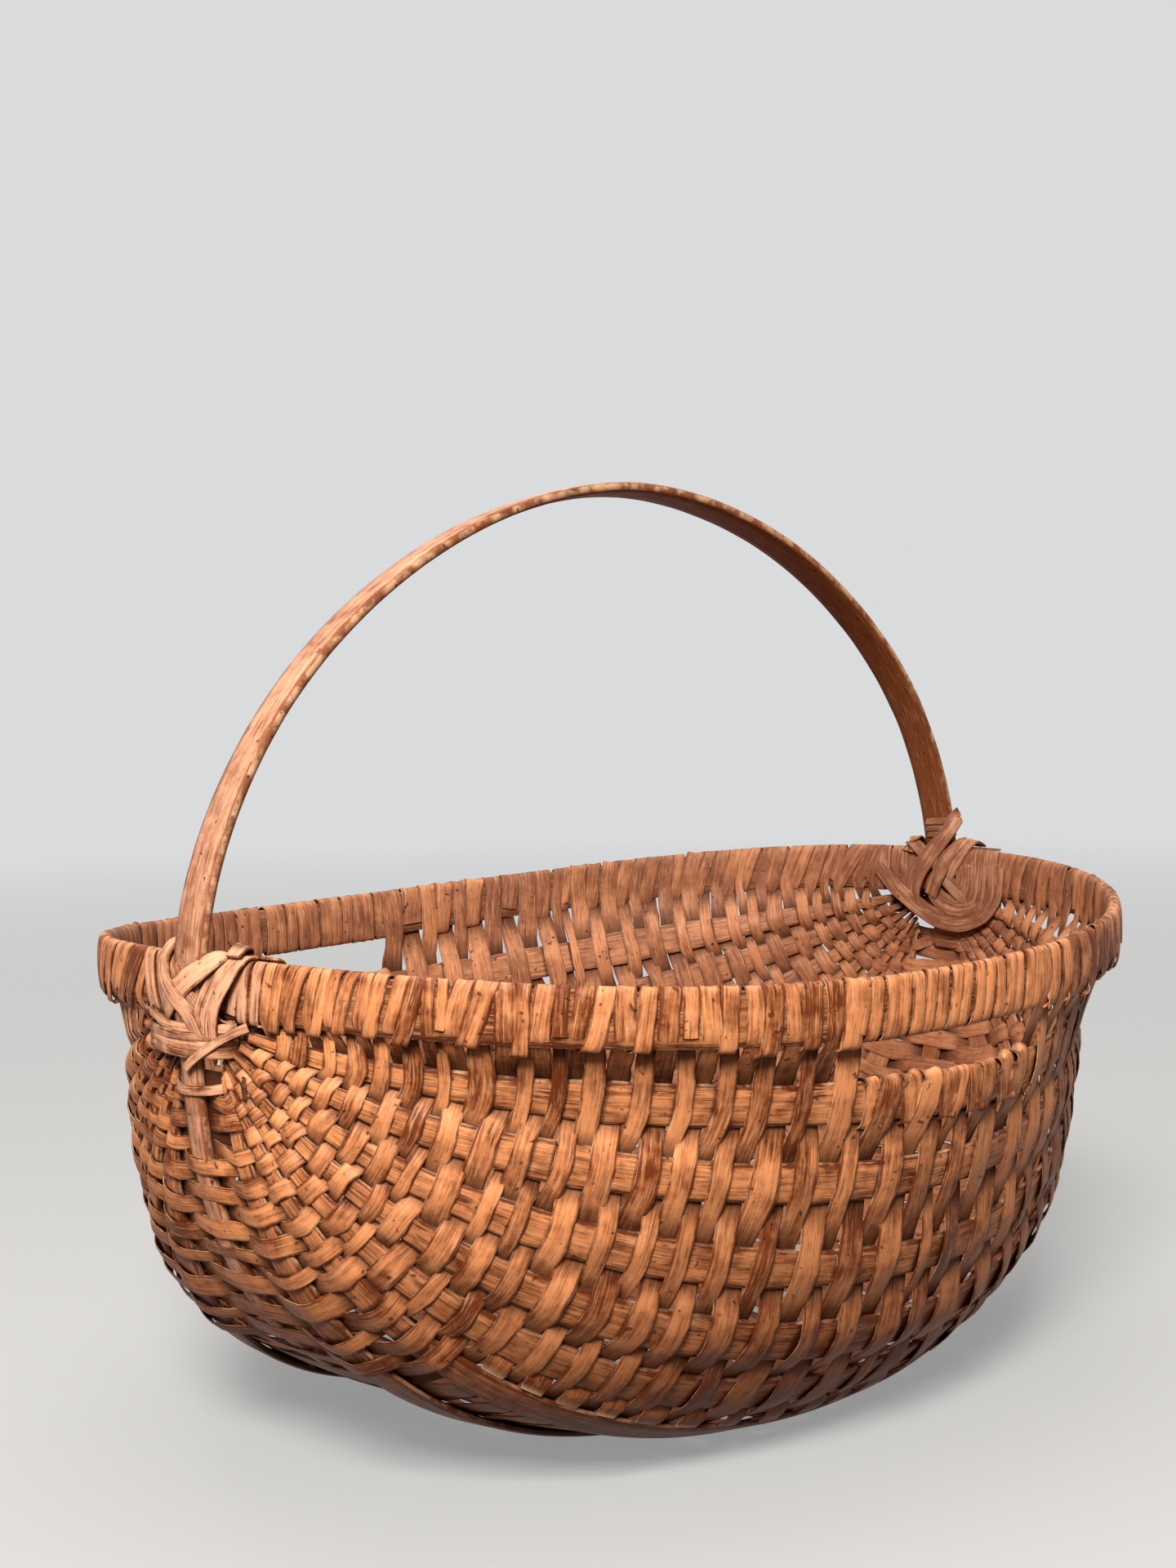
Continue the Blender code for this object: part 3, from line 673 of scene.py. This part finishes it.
def half_width(row, station):
    """Half the strip's width. It fills the row's room, and near the ears the strips crowd."""
    crowd = np.interp(abs(row_place[row] - MIDDLE), (8, 14, 19), (1.05, 1.10, 1.22))
    return 0.5 * widths[row] * crowd * pitch_of(station)


def wobble(row, station):
    """How far a row strays along a curve, in places."""
    phase = row_phase[row]
    return 0.07 * sin(station * 1.1 + phase[0]) + 0.05 * sin(station * 2.3 + phase[1])


def turned(side, axis, angle):
    return side * cos(angle) + np.cross(axis, side) * sin(angle)


def crossing(row, station, sign):
    """Two corner points of a row where it passes outside (+1) or inside (-1) a curve."""
    row_at = row_place[row] + wobble(row, station)
    point, along, across, out = wall(station, row_at)
    half = half_width(row, station) * (1 + 0.06 * sin(2.7 * station + row_phase[row][2]))
    if station == SPINE:
        flat, offset = 5.0, SPINE_GRIP + STRIP_HALF_THICKNESS + 0.25
    else:
        flat = 0.75 * rib_half_width(station, row_at)
        before = place(station - 1, distance_of(station - 1, row_at)) - point
        after = place(station + 1, distance_of(station + 1, row_at)) - point
        fall = -0.5 * (before + after) @ out
        offset = RIB_THICKNESS / 2 + STRIP_HALF_THICKNESS + 0.3 + max(0, 0.2 * fall * sign)
        offset *= np.interp(spacing(station, row_at), (3, 9), (0.7, 1))
    base = point + out * (sign * offset)
    twist = 0.11 * sin(station * 1.7 + row_phase[row][1])
    lean = 0.19 * sin(station * 2.1 + row_phase[row][3])
    width_way = turned(turned(along, across, twist), out, lean)
    return [control(base + across * step, width_way, half, exposed=sign, tone=row_tone[row])
            for step in (-flat, flat)]


# %% [markdown]
# ### Turns round the rim
# At the rim a row goes once right round the hoop before it comes back as the next row. That extra turn is
# what hides the rim. A turn is told as stops round the hoop's section: how far out, how high, and how far
# along towards the next row. In the open slots the same stops go round the top rib, where the second
# pass lies on the first.

# %% Turns
RISE = ((0.90, -0.66, 0.0), (1, 0.05, 0.02), (0.86, 0.72, 0.04), (0.45, 1.0, 0.08), (-0.45, 1.0, 0.16),
        (-0.86, 0.72, 0.24))
ROUND = ((-1, 0.0, 0.36), (-0.86, -0.72, 0.50), (-0.45, -1.0, 0.58), (0.45, -1.0, 0.72), (0.86, -0.72, 0.80),
         (1, 0.0, 0.90), (0.86, 0.72, 1.0), (0.45, 1.0, 1.06), (-0.45, 1.0, 1.14), (-0.86, 0.72, 1.2),
         (-0.96, 0.0, 1.14), (-0.90, -0.66, 1.06))
END = ((-0.96, 0.1, 0.26), (-0.9, -0.5, 0.28))
RIM_TALL = RIM_HEIGHT / 2 + 0.7      # half the height of a turn round the rim


def rim_spot(rim, row_at, out_by, up_by):
    point, along, _, out = wall(rim, row_at)
    return point + out * out_by + UP * up_by, along


def rib_spot(station, row_at, out_by, up_by):
    point, along, across, out = wall(station, row_at)
    return point + out * out_by + across * (up_by * (-1 if station < SPINE else 1)), along


def end_station(row, rim):
    if not in_slot(row, rim):
        return rim
    return 1 if rim == RIM_FRONT else RIM_BACK - 1


def rim_lean(station, row):
    """How far the top of a wrap leans along the rim. The wraps lean one way on the front rim, away from
    the ears, and the other way on the back rim."""
    if station not in (RIM_FRONT, RIM_BACK):
        return 0.0
    near = max(0.0, abs(row_place[row] - MIDDLE) / 20 - 0.5)
    way = (1 if row_place[row] < MIDDLE else -1) * (1 if station == RIM_FRONT else -2.0)
    return 0.4 * near * way + 0.05 * sin(row_phase[row][3])


def shown(out_share):
    """How far a stop of a turn lies on the outward (+1) or the inward (-1) face."""
    return np.clip(out_share * 1.4, -1, 1)


def turn(row, rim, to_row):
    """From a row's end at a rim, round it, to the start of to_row, or to a tucked end."""
    station = end_station(row, rim)
    slot = station != rim
    sign = side_of(row, station)
    phase = row_phase[row]
    reach = RIB_THICKNESS / 2 + STRIP_HALF_THICKNESS + 0.25 if slot else RIM_REACH
    tall = RIBS[0][3] + 0.5 if slot else RIM_TALL
    spot = rib_spot if slot else rim_spot
    fullness, darker, swell = (1.06, 0, 0.3) if slot else (0.95, 0.12, 2.8)
    stops = RISE + (ROUND if to_row is not None else END)
    following = row if to_row is None else to_row
    step = row_place[following] - row_place[row]
    path = []
    for i, (out_share, up_share, share) in enumerate(stops):
        second_pass = share > 0.5
        loose = 0.97 + 0.03 * sin(phase[0] + 0.6 * i)
        hang = max(0, -up_share) * (0.5 if slot else 1) * (0.7 + 1.1 * sin(3 * phase[1]))
        row_at = row_place[row] + step * share + 0.06 * sin(phase[2] + 0.7 * i)
        row_at += rim_lean(station, row) * up_share
        layer = 0.5 if slot and second_pass else 0.0
        point, along = spot(station, row_at, sign * out_share * (reach + layer) * loose,
                            up_share * (tall + layer) - hang)
        share = min(share, 1)
        half = 0.5 * ((1 - share) * widths[row] + share * widths[following]) * pitch_of(station)
        half *= fullness + 0.06 * sin(4 * phase[2] + (2.5 if second_pass else 0))
        tone = (1 - share) * row_tone[row] + share * row_tone[following]
        tone += 0.16 * sin(5 * phase[3] + (2.2 if second_pass else 0)) - darker
        path.append(control(point, along, half, exposed=shown(sign * out_share), tone=np.clip(tone, 0, 1),
                            swell=swell))
    return path


# %% [markdown]
# ### Rows worn through
# On the bottom the two lowest ribs of each side stand proud of the weave, which runs inside them. Some of
# the strips that once crossed outside the upper one have worn through, and their torn ends curl a little
# at its edges.

# %% Rows
def torn_end(row, station, towards):
    """Corner points of a torn end beside a bare rib. towards is +1 on the rib's far side."""
    row_at = row_place[row]
    point, along, across, out = wall(station, row_at)
    ragged = sin(row * 7.7 + station)
    half = half_width(row, station)
    base = point + across * (towards * rib_half_width(station, row_at) * 1.02)
    upper = (towards < 0) == (station < SPINE)
    curl = 0.15 + 0.2 * ragged if upper else -0.8
    steps = ((5.5, -1.6, 1, 0.0), (2.6, -0.6, 1, 0.0), (0.7 + 0.5 * ragged, curl, 0.9, 0.6))
    return [control(base + across * (towards * away) + out * lift, along, half * part, pale, 1.0,
                    row_tone[row]) for away, lift, part, pale in steps]


def is_torn(row, station):
    worn_through = is_bare(row, station) and (row + station) % 2 == 0
    return worn_through and station in (6, 10) and (row * 5 + station) % 5 < 2


def row_lengths(row):
    """The row's separate lengths from the front to the back, each a list of corner points."""
    first = 2 if in_slot(row, RIM_FRONT) else 1
    last = RIM_BACK - (2 if in_slot(row, RIM_BACK) else 1)
    pieces, current = [], []
    for station in range(first, last + 1):
        if is_torn(row, station):
            current += torn_end(row, station, -1)
            pieces.append(current)
            current = torn_end(row, station, 1)[::-1]
        else:
            current += crossing(row, station, side_of(row, station))
    pieces.append(current)
    return pieces


def strip_lengths(rows):
    """All the lengths of one strip that is woven as these rows, turning at the rims."""
    done, current = [], []
    for i, row in enumerate(rows):
        backwards = row % 2 == 0
        start_rim, end_rim = (RIM_BACK, RIM_FRONT) if backwards else (RIM_FRONT, RIM_BACK)
        if i == 0:
            current = turn(row, start_rim, None)[::-1]
        pieces = row_lengths(row)
        if backwards:
            pieces = [piece[::-1] for piece in pieces[::-1]]
        current = current + pieces[0]
        for piece in pieces[1:]:
            done.append(current)
            current = piece
        current = current + turn(row, end_rim, rows[i + 1] if i + 1 < len(rows) else None)
    done.append(current)
    return done


# %% [markdown]
# ### The strips
# Thirteen strips weave the bowl, each joined to the next by tucking its end in at the rim. Each row has
# its own tone, because no two splits of a log have the same colour.

# %% Weave strips
STRIPS = 13
strip_ends = [round(ROWS * i / STRIPS) for i in range(STRIPS + 1)]
for number in range(STRIPS):
    rows = list(range(strip_ends[number], strip_ends[number + 1]))
    parts = []
    for i, length in enumerate(strip_lengths(rows)):
        path = rounded(np.array(length), 2)
        parts.append(lay_grid(f"weave_{number + 1:02d}_{i}", path, start=4000 * number + 300 * i, ragged=0.11,
                              cup=0.14))
    strip = join(parts, f"weave_strip_{number + 1:02d}")
    thicken(strip, 2 * STRIP_HALF_THICKNESS)
    place_piece(strip, weave_wood, "weaver_wood", f"weaver_{number + 1:02d}")
    print(strip.name, "rows", rows[0], "to", rows[-1], "faces", len(strip.data.polygons))

# %% [markdown]
# ## Bindings
# Where no row reaches the rim, over the two slots and beside the ears, a strip is simply wound round it.

# %% Rim bindings
WINDING = ((0.86, -0.72), (1, 0), (0.86, 0.72), (0.45, 1.0), (-0.45, 1.0), (-0.86, 0.72), (-1, 0),
           (-0.86, -0.72), (-0.45, -1.0), (0.45, -1.0))      # stops round the hoop: how far out, how high


def binding(name, rim, start, end, width, tone, slant):
    """A strip wound round the rim from one place to another. slant leans it along the rim."""
    length = (end - start) * pitch_of(rim)
    turns = max(1, round(length / width))
    path = []
    for i in range(turns * len(WINDING)):
        out_share, up_share = WINDING[i % len(WINDING)]
        row_at = start + (end - start) * i / (turns * len(WINDING)) + slant * up_share
        row_at += 0.03 * sin(i * 0.7) + 0.05 * sin(i * 0.37)
        loose = 0.97 + 0.03 * sin(i * 0.71 + tone * 9)
        point, along = rim_spot(rim, row_at, out_share * RIM_REACH * loose, up_share * RIM_TALL)
        half = 0.5 * length / turns * (0.95 + 0.07 * sin(i * 0.6) + 0.05 * sin(i * 0.23))
        here = np.clip(tone + 0.25 * sin(i * 0.64), 0, 1)
        path.append(control(point, along, half, exposed=shown(out_share), tone=here, swell=1.6))
    strip = lay_grid(name, rounded(np.array(path), 2), start=60000 * tone, ragged=0.06, cup=0.25)
    return thicken(strip, 2 * STRIP_HALF_THICKNESS)


for side, rim, (start, end) in (("front", RIM_FRONT, FRONT_SLOT), ("back", RIM_BACK, BACK_SLOT)):
    name = f"rim_binding_{side}"
    wound = binding(f"{name}_strip", rim, start + 0.3, end + 0.1, width=6.2, tone=0.5, slant=0.04)
    place_piece(wound, weave_wood, "weaver_wood", name)
for corner, rim, start, end in (
        ("left_front", RIM_FRONT, -2.35, -1.3), ("left_back", RIM_BACK, -2.55, -1.3),
        ("right_front", RIM_FRONT, 39.3, 39.95), ("right_back", RIM_BACK, 39.3, 40.55)):
    wound = binding(f"ear_winding_{corner}", rim, start, end, width=4.2, tone=0.5, slant=0.08)
    place_piece(wound, lashing_wood, "lashing_wood")
print("bindings wound")

# %% [markdown]
# ## The ears
# At each ear the two hoops are lashed together with the same split strips: straps cross over the joint,
# short bands lie side by side under the rim outside, and a nest of bands goes round the rib tips inside.
# Each strap is one strip on its own path. Its corners are told as (out from the basket's middle, across,
# up), followed by the way that its face looks where that changes. The strip's width lies square to its
# path and its face. The right ear mirrors the left one, except at the foot of the handle.

# %% Lashing helper
LASHING_THICKNESS = 0.9
IN, OUT, TOP = (-1, 0, 0), (1, 0, 0), (0, 0, 1)      # the usual ways for a strap's face to look


def strap(name, ear, corners, width, tone, worn=0.0, times=2):
    told = []
    for corner in corners:
        told.append(corner if len(corner) == 6 else (*corner, *told[-1][3:]))
    spots, faces = np.split(np.array(told, float), 2, axis=1)
    going = np.gradient(spots, axis=0)
    mirror = np.array([ear, 1.0, 1.0])
    path = []
    for i, (spot, face, way) in enumerate(zip(spots, faces, going)):
        width_way = unit(np.cross(unit(face), unit(way)))
        reached = 1.0 if face[0] >= 0 else -1.0
        # straps at the right ear are 0.3 lower in tone: painted shade
        here = tone - 0.15 * (1 + ear) + 0.22 * sin(1.2 * i + 1.7 * len(name) + ord(name[-1]))
        path.append(control(spot * mirror, width_way * mirror, width / 2, worn, reached, np.clip(here, 0, 1)))
    start = 211 * len(name) + 37 * ord(name[-1]) + 1000 * (ear + 2)
    return lay_grid(name, rounded(np.array(path), times), start=start, ragged=0.08)


def lash(name, straps, *replaced):
    piece = join(straps, name)
    thicken(piece, LASHING_THICKNESS, 0.45)
    place_piece(piece, lashing_wood, "lashing_wood", *replaced)


EARS = ((-1, "left"), (1, "right"))

# %% [markdown]
# ### Straps over the joint
# One broad strap goes from the top of the rim slantwise over the joint, and another crosses under it.
# A narrower one comes from behind the handle and lies over both, and three thin ones come over the rim
# beside them and fan down.

# %% Crossed straps
for ear, side in EARS:
    broad = strap("broad", ear, (
        (200.2, -16, 4, *IN), (200.4, -15, 9, -1, 0, 0.3), (203.5, -14, 11.6, *TOP),
        (208.2, -12, 10, 0.7, -0.1, 0.7), (211.8, -5, 5, 1, 0, 0.3), (212.2, 2, 0, *OUT), (212, 8, -5),
        (208.6, 14, -10, 1, 0.3, 0), (204, 16.5, -11.5, 0.2, 0, -1), (200.2, 16, -8, *IN)), 8.3, 0.95)
    under = strap("under", ear, (
        (200.4, 13, 8, -1, 0, 0.3), (203.5, 12.5, 11.3, *TOP), (208, 11, 9.5, 0.7, 0, 0.7),
        (211.5, 4, 3.5, 1, 0, 0.2), (211.6, -4, -4, *OUT), (209.5, -10, -9, 1, 0, -0.2),
        (204, -13, -11.3, 0, 0, -1), (200.3, -13, -7, *IN)), 6.5, 0.5)
    lash(f"ear_straps_broad_{side}", [broad, under], f"ear_cross_a_{side}")
    slim = strap("slim", ear, (
        (201, 10, 13.5, -1, 0, 0.2), (204.5, 11, 15, *TOP), (209, 11.5, 11.5, 0.9, 0, 0.5),
        (212.2, 10, 5, 1, 0.1, 0.1), (212.9, 4.5, -1.5, *OUT), (212.9, -1.5, -5.5), (212.6, -5, -9.5),
        (211.6, -7, -14), (210.4, -7.5, -19)), 5.8, 0.9)
    fans = [strap(f"fan_{i}", ear, (
        (199.6 - 0.4 * i, -15.5 - 3.9 * i, -3, *IN), (199.6 - 0.4 * i, -16 - 3.9 * i, 7, -1, 0, 0.1),
        (203.2, -16.5 - 4.1 * i, 11.3 + 0.3 * i, *TOP), (207.4, -14.5 - 4.1 * i, 9, 0.9, 0, 0.45),
        (209.6, -11 - 3.9 * i, 2.5, 1, -0.2, 0.1), (211.7 - 0.4 * i, -8 - 3.3 * i, -5, 1, -0.2, 0),
        (211.9 - 0.6 * i, -7.2 - 3.1 * i, -11.5, 1, -0.1, 0),
        (210.6 - 0.5 * i, -7 - 2.9 * i, -17)), 3.9, 0.5 + 0.2 * i) for i in range(3)]
    lash(f"ear_straps_slim_{side}", [slim] + fans, f"ear_cross_b_{side}")
print("straps over the joints")

# %% [markdown]
# ### Bands under the rim
# Outside, four short bands lie one under the other across the spine, one stray end slants over them, and
# a lone strip crosses further down. Inside, thin bands nest in half rounds about the joint, like the
# layers of an onion. Two broader ones cradle them, upright ones beside them go over the rim, and two more
# cross the spine further down.

# %% Bands outside and nest inside
for ear, side in EARS:
    bands = []
    heights_widths_tones = ((-12.0, 3.0, 1.0), (-14.7, 2.8, 0.35), (-17.3, 3.0, 0.6), (-20.1, 3.0, 0.3))
    for i, (up_by, width, tone) in enumerate(heights_widths_tones):
        rise, grow, lift = (2.4 if i == 0 else 0.5), 0.25 * i, 0.35 * (i % 2)
        bands.append(strap(f"band_{i}", ear, (
            (202.5, 24.5, up_by + rise, 0.2, 1, 0), (206.5, 25, up_by + rise, 0.8, 0.8, 0),
            (209.6, 19, up_by + rise, 1, 0.3, 0), (211.9 + lift, 10, up_by, 1, 0.1, 0),
            (212.3 + lift, 1, up_by - 0.2, *OUT), (211.9 + lift, -6, up_by, 1, -0.1, 0),
            (210.4, -12 - grow, up_by + 0.2, 1, -0.3, 0), (207.4, -16.5 - grow, up_by + 0.3, 0.8, -0.8, 0),
            (203.4, -16 - grow, up_by + 0.3, -0.2, -1, 0)), width, tone))
    stray = strap("stray", ear, (
        (204.5, -23.5, -11, 0.6, -0.8, 0), (208, -20.5, -12.5, 1, -0.5, 0), (211.8, -12, -17.5, 1, -0.2, 0),
        (212.8, -5.5, -22, *OUT), (212.4, -1.5, -25)), 3.0, 0.8, worn=0.12)
    lone = strap("lone", ear, (
        (202, 13.5, -32.5, *OUT), (207.2, 10.5, -32.5, 1, 0.4, 0), (210.5, 4, -32.8, *OUT),
        (210.6, -3, -32.6), (208.5, -9, -32, 1, -0.4, 0), (203.5, -12.5, -31.5, 1, -0.6, 0)), 3.4, 0.85)
    # the inside bands keep low tones, as painted shade inside the ear
    nest = []
    for i, tone in enumerate((0.0, 0.55, 0.05, 0.6, 0.1)):
        arc = [(200.4 - 0.5 * i, -14 + (11.5 + 0.9 * i) * cos(a), -5.5 - (6.5 + 1.7 * i) * sin(a), *IN)
               for a in np.linspace(0.4, pi - 0.1, 9)]
        nest.append(strap(f"nest_{i}", ear, arc, 2.4, tone, times=1))
    for i, tone in enumerate((0.35, 0.05)):
        nest.append(strap(f"cradle_{i}", ear, (
            (201, 33 - i, 4, *IN), (198.6, 28 - 3 * i, -1.4), (198, 18.7 - 3 * i, -9.8),
            (197.8 + 0.9 * i, 8.8, -16.5 + 3 * i), (197.6 + 0.9 * i, -1.8, -22 + 3.2 * i),
            (197.6 + 0.9 * i, -12.2, -24.2 + 3.4 * i), (197.8 + 0.9 * i, -21.9, -22.6 + 3.2 * i),
            (197.9 + 0.6 * i, -29.6 + 2 * i, -18.5 + 2 * i), (197.6, -35 + 3 * i, -11.5),
            (196.9, -37.4 + 4 * i, -4), (196.6, -37.8 + 4 * i, 4)), 5.2, tone))
    for i, tone in enumerate((0.4, 0.1, 0.45, 0.15, 0.3)):
        y, low = -16.0 - 4.4 * i, i / 4
        x = 200.2 - 0.00236 * y * y
        nest.append(strap(f"drum_{i}", ear, (
            (x + 3.4, y, 11.2, *TOP), (x + 0.7, y, 9.6, -1, 0, 0.6), (x, y, 4, *IN), (x - 0.3, y + 0.4, -4),
            (x + 0.2, y + 2, -9 - 3 * low), (x + 1.6, y + 5 + 2 * low, -12 - 7 * low)), 4.9, tone))
    for i, tone in enumerate((0.4, 0.2)):
        up_by = -28.8 - 3.9 * i
        nest.append(strap(f"cross_{i}", ear, (
            (206, 4.5, up_by, -0.6, 0.8, 0), (203.8, 0, up_by, -1, 0.2, 0), (203.2, -8, up_by - 0.3, *IN),
            (203.6, -17, up_by + 0.3), (206, -23, up_by + 0.6, -0.8, -0.6, 0)), 3.8, tone))
    lash(f"ear_bands_{side}", bands + [stray, lone] + nest, f"ear_band_{side}")
print("bands under the rim")

# %% [markdown]
# ### Foot of the handle
# Inside, straps slant over the joint: one from the other side crosses under them, a dark one lies on top,
# and a pale end sticks out. At the right ear a thin strip also goes three times round the foot of the
# handle, and two straps slant down from there. At the left ear the foot is bare.

# %% Handle foot
for ear, side in EARS:
    # most of these inside straps have low tones, as painted shade inside the ear
    foot = []
    if side == "right":
        turns = []
        for i in range(3 * 8 + 1):      # three times round, in eighths
            angle, up_by = i / 8 * 2 * pi, 14.8 + 0.36 * i
            middle = abs(crown_point(up_by + 2)[0])
            turns.append((middle + 2.95 * cos(angle), 8.2 * sin(angle), up_by, cos(angle), sin(angle), 0))
        foot.append(strap("turns", ear, turns, 3.0, 0.5, times=1))
        foot.append(strap("shoulder_a", ear, (
            (209, -9.4, 23.5, 0.2, -1, 0.3), (204.8, -10.4, 22.4, -0.6, -0.6, 0.5),
            (201.2, -8.5, 16.5, -1, -0.2, 0.3), (199, -2, 8.3, *IN), (197.9, 5, -2.3),
            (198, 7.9, -9.9, -1, 0.2, 0), (199.4, 7.4, -17.3, -1, 0.3, 0)), 4.8, 0.5))
        foot.append(strap("shoulder_b", ear, (
            (208.6, -8.8, 26.5, 0.2, -1, 0.3), (204.6, -8.4, 24.4, -0.6, -0.6, 0.5),
            (201, -5.1, 16.6, -1, -0.2, 0.3), (199.4, 0.4, 10.4, *IN), (198.6, 6.7, 3.5),
            (198.6, 10.8, -3.8, -1, 0.2, 0), (199.4, 12.2, -10.2, -1, 0.3, 0)), 4.0, 0.15))
    foot.append(strap("shade", ear, (
        (203, -17.2, 14.6, -0.3, 0, 1), (200.2, -14.4, 12.4, -1, 0, 0.5), (197.9, -8.5, 5.6, *IN),
        (197, -3.6, -3.9), (197.8, -0.6, -10.7)), 6.6, 0.0))
    foot.append(strap("crossing", ear, (
        (206, 15, 11.4, *TOP), (202.4, 12, 12.6, -0.2, 0, 1), (200, 7.4, 10.6, -1, 0, 0.4),
        (199.7, 0.1, 5.2, *IN), (199.7, -6.8, -1.4), (200.2, -11.5, -6.5)), 5.6, 0.35))
    foot.append(strap("shoulder_c", ear, (
        (207.5, -21, 11.6, 0.2, 0, 1), (203.5, -20.6, 14.6, -0.2, 0, 1), (200.6, -19, 13.2, -1, 0, 0.6),
        (199, -16, 8.6, *IN), (198.6, -11.7, 2.8), (199.4, -8.4, -1.8)), 6.4, 0.75))
    foot.append(strap("pale_end", ear, (
        (199.8, -6, -3.5, *IN), (198.9, -10.5, -6.5), (199, -15, -10.5),
        (200, -18, -13)), 4.4, 0.45, worn=0.1))
    lash(f"ear_foot_{side}", foot, f"ear_collar_{side}")
print("handle feet")

# %% [markdown]
# ## The floor and the light
# The studio is plain: a pale floor, a pale world for soft fill, a soft lamp above the front left, and a
# larger, weaker one overhead. The floor and the world are pale to the camera, and darker to the light
# that bounces off them, so that the basket's underside keeps its depth.

# %% Stage
PALE = (0.70, 0.71, 0.72)
FLOOR_SEEN, FLOOR_UNSEEN = (0.58, 0.58, 0.57), (0.10, 0.07, 0.05)
GLOW_UNSEEN, WORLD_UNSEEN = (0.05, 0.04, 0.035), (0.215, 0.188, 0.160)


def seen_directly(tree):
    rays = node(tree, "ShaderNodeLightPath").outputs
    seen = maths(tree, "MAXIMUM", rays["Is Camera Ray"], rays["Is Glossy Ray"])
    return maths(tree, "MAXIMUM", seen, rays["Is Transmission Ray"])


bpy.ops.mesh.primitive_plane_add(size=14, location=(0, 0, 0))
floor = bpy.context.object
floor.name = "studio_floor"
paper = bpy.data.materials.new("pale floor")
paper.use_nodes = True
tree = paper.node_tree
seen = seen_directly(tree)
paint = tree.nodes["Principled BSDF"]
feed(tree, paint, {"Base Color": mixed(tree, seen, FLOOR_UNSEEN, FLOOR_SEEN), "Roughness": 0.95,
                   "Specular IOR Level": 0.1})
glow = outlet(tree, "ShaderNodeEmission", {"Color": mixed(tree, seen, GLOW_UNSEEN, PALE)})
far = vector_maths(tree, "LENGTH", node(tree, "ShaderNodeTexCoord").outputs["Object"], output=1)
fading = ranged(tree, far, 0.4, 2.2, 0.40, 1.0)
sweep = outlet(tree, "ShaderNodeMixShader", {0: fading, 1: paint.outputs[0], 2: glow})
feed(tree, tree.nodes["Material Output"], {"Surface": sweep})
floor.data.materials.append(paper)

world = bpy.data.worlds.new("studio")
bpy.context.scene.world = world
world.use_nodes = True
tree = world.node_tree
sky = mixed(tree, seen_directly(tree), WORLD_UNSEEN, PALE)
feed(tree, tree.nodes["Background"], {"Color": sky, "Strength": 1.0})


def area_lamp(name, location, target, size, power_w, colour):
    data = bpy.data.lights.new(name, "AREA")
    data.size = size
    data.energy = power_w
    data.color = colour
    lamp = bpy.data.objects.new(name, data)
    lamp.location = location
    lamp.rotation_euler = (Vector(target) - Vector(location)).to_track_quat("-Z", "Y").to_euler()
    bpy.context.scene.collection.objects.link(lamp)


area_lamp("soft_key", (-1.40, -1.00, 1.45), (0, 0, 0.12), 0.65, 66, (1.0, 0.97, 0.93))
area_lamp("soft_top", (0.15, 0.25, 1.90), (0, 0, 0.10), 1.4, 14, (1.0, 0.97, 0.94))
bpy.context.scene.view_settings.view_transform = "Standard"
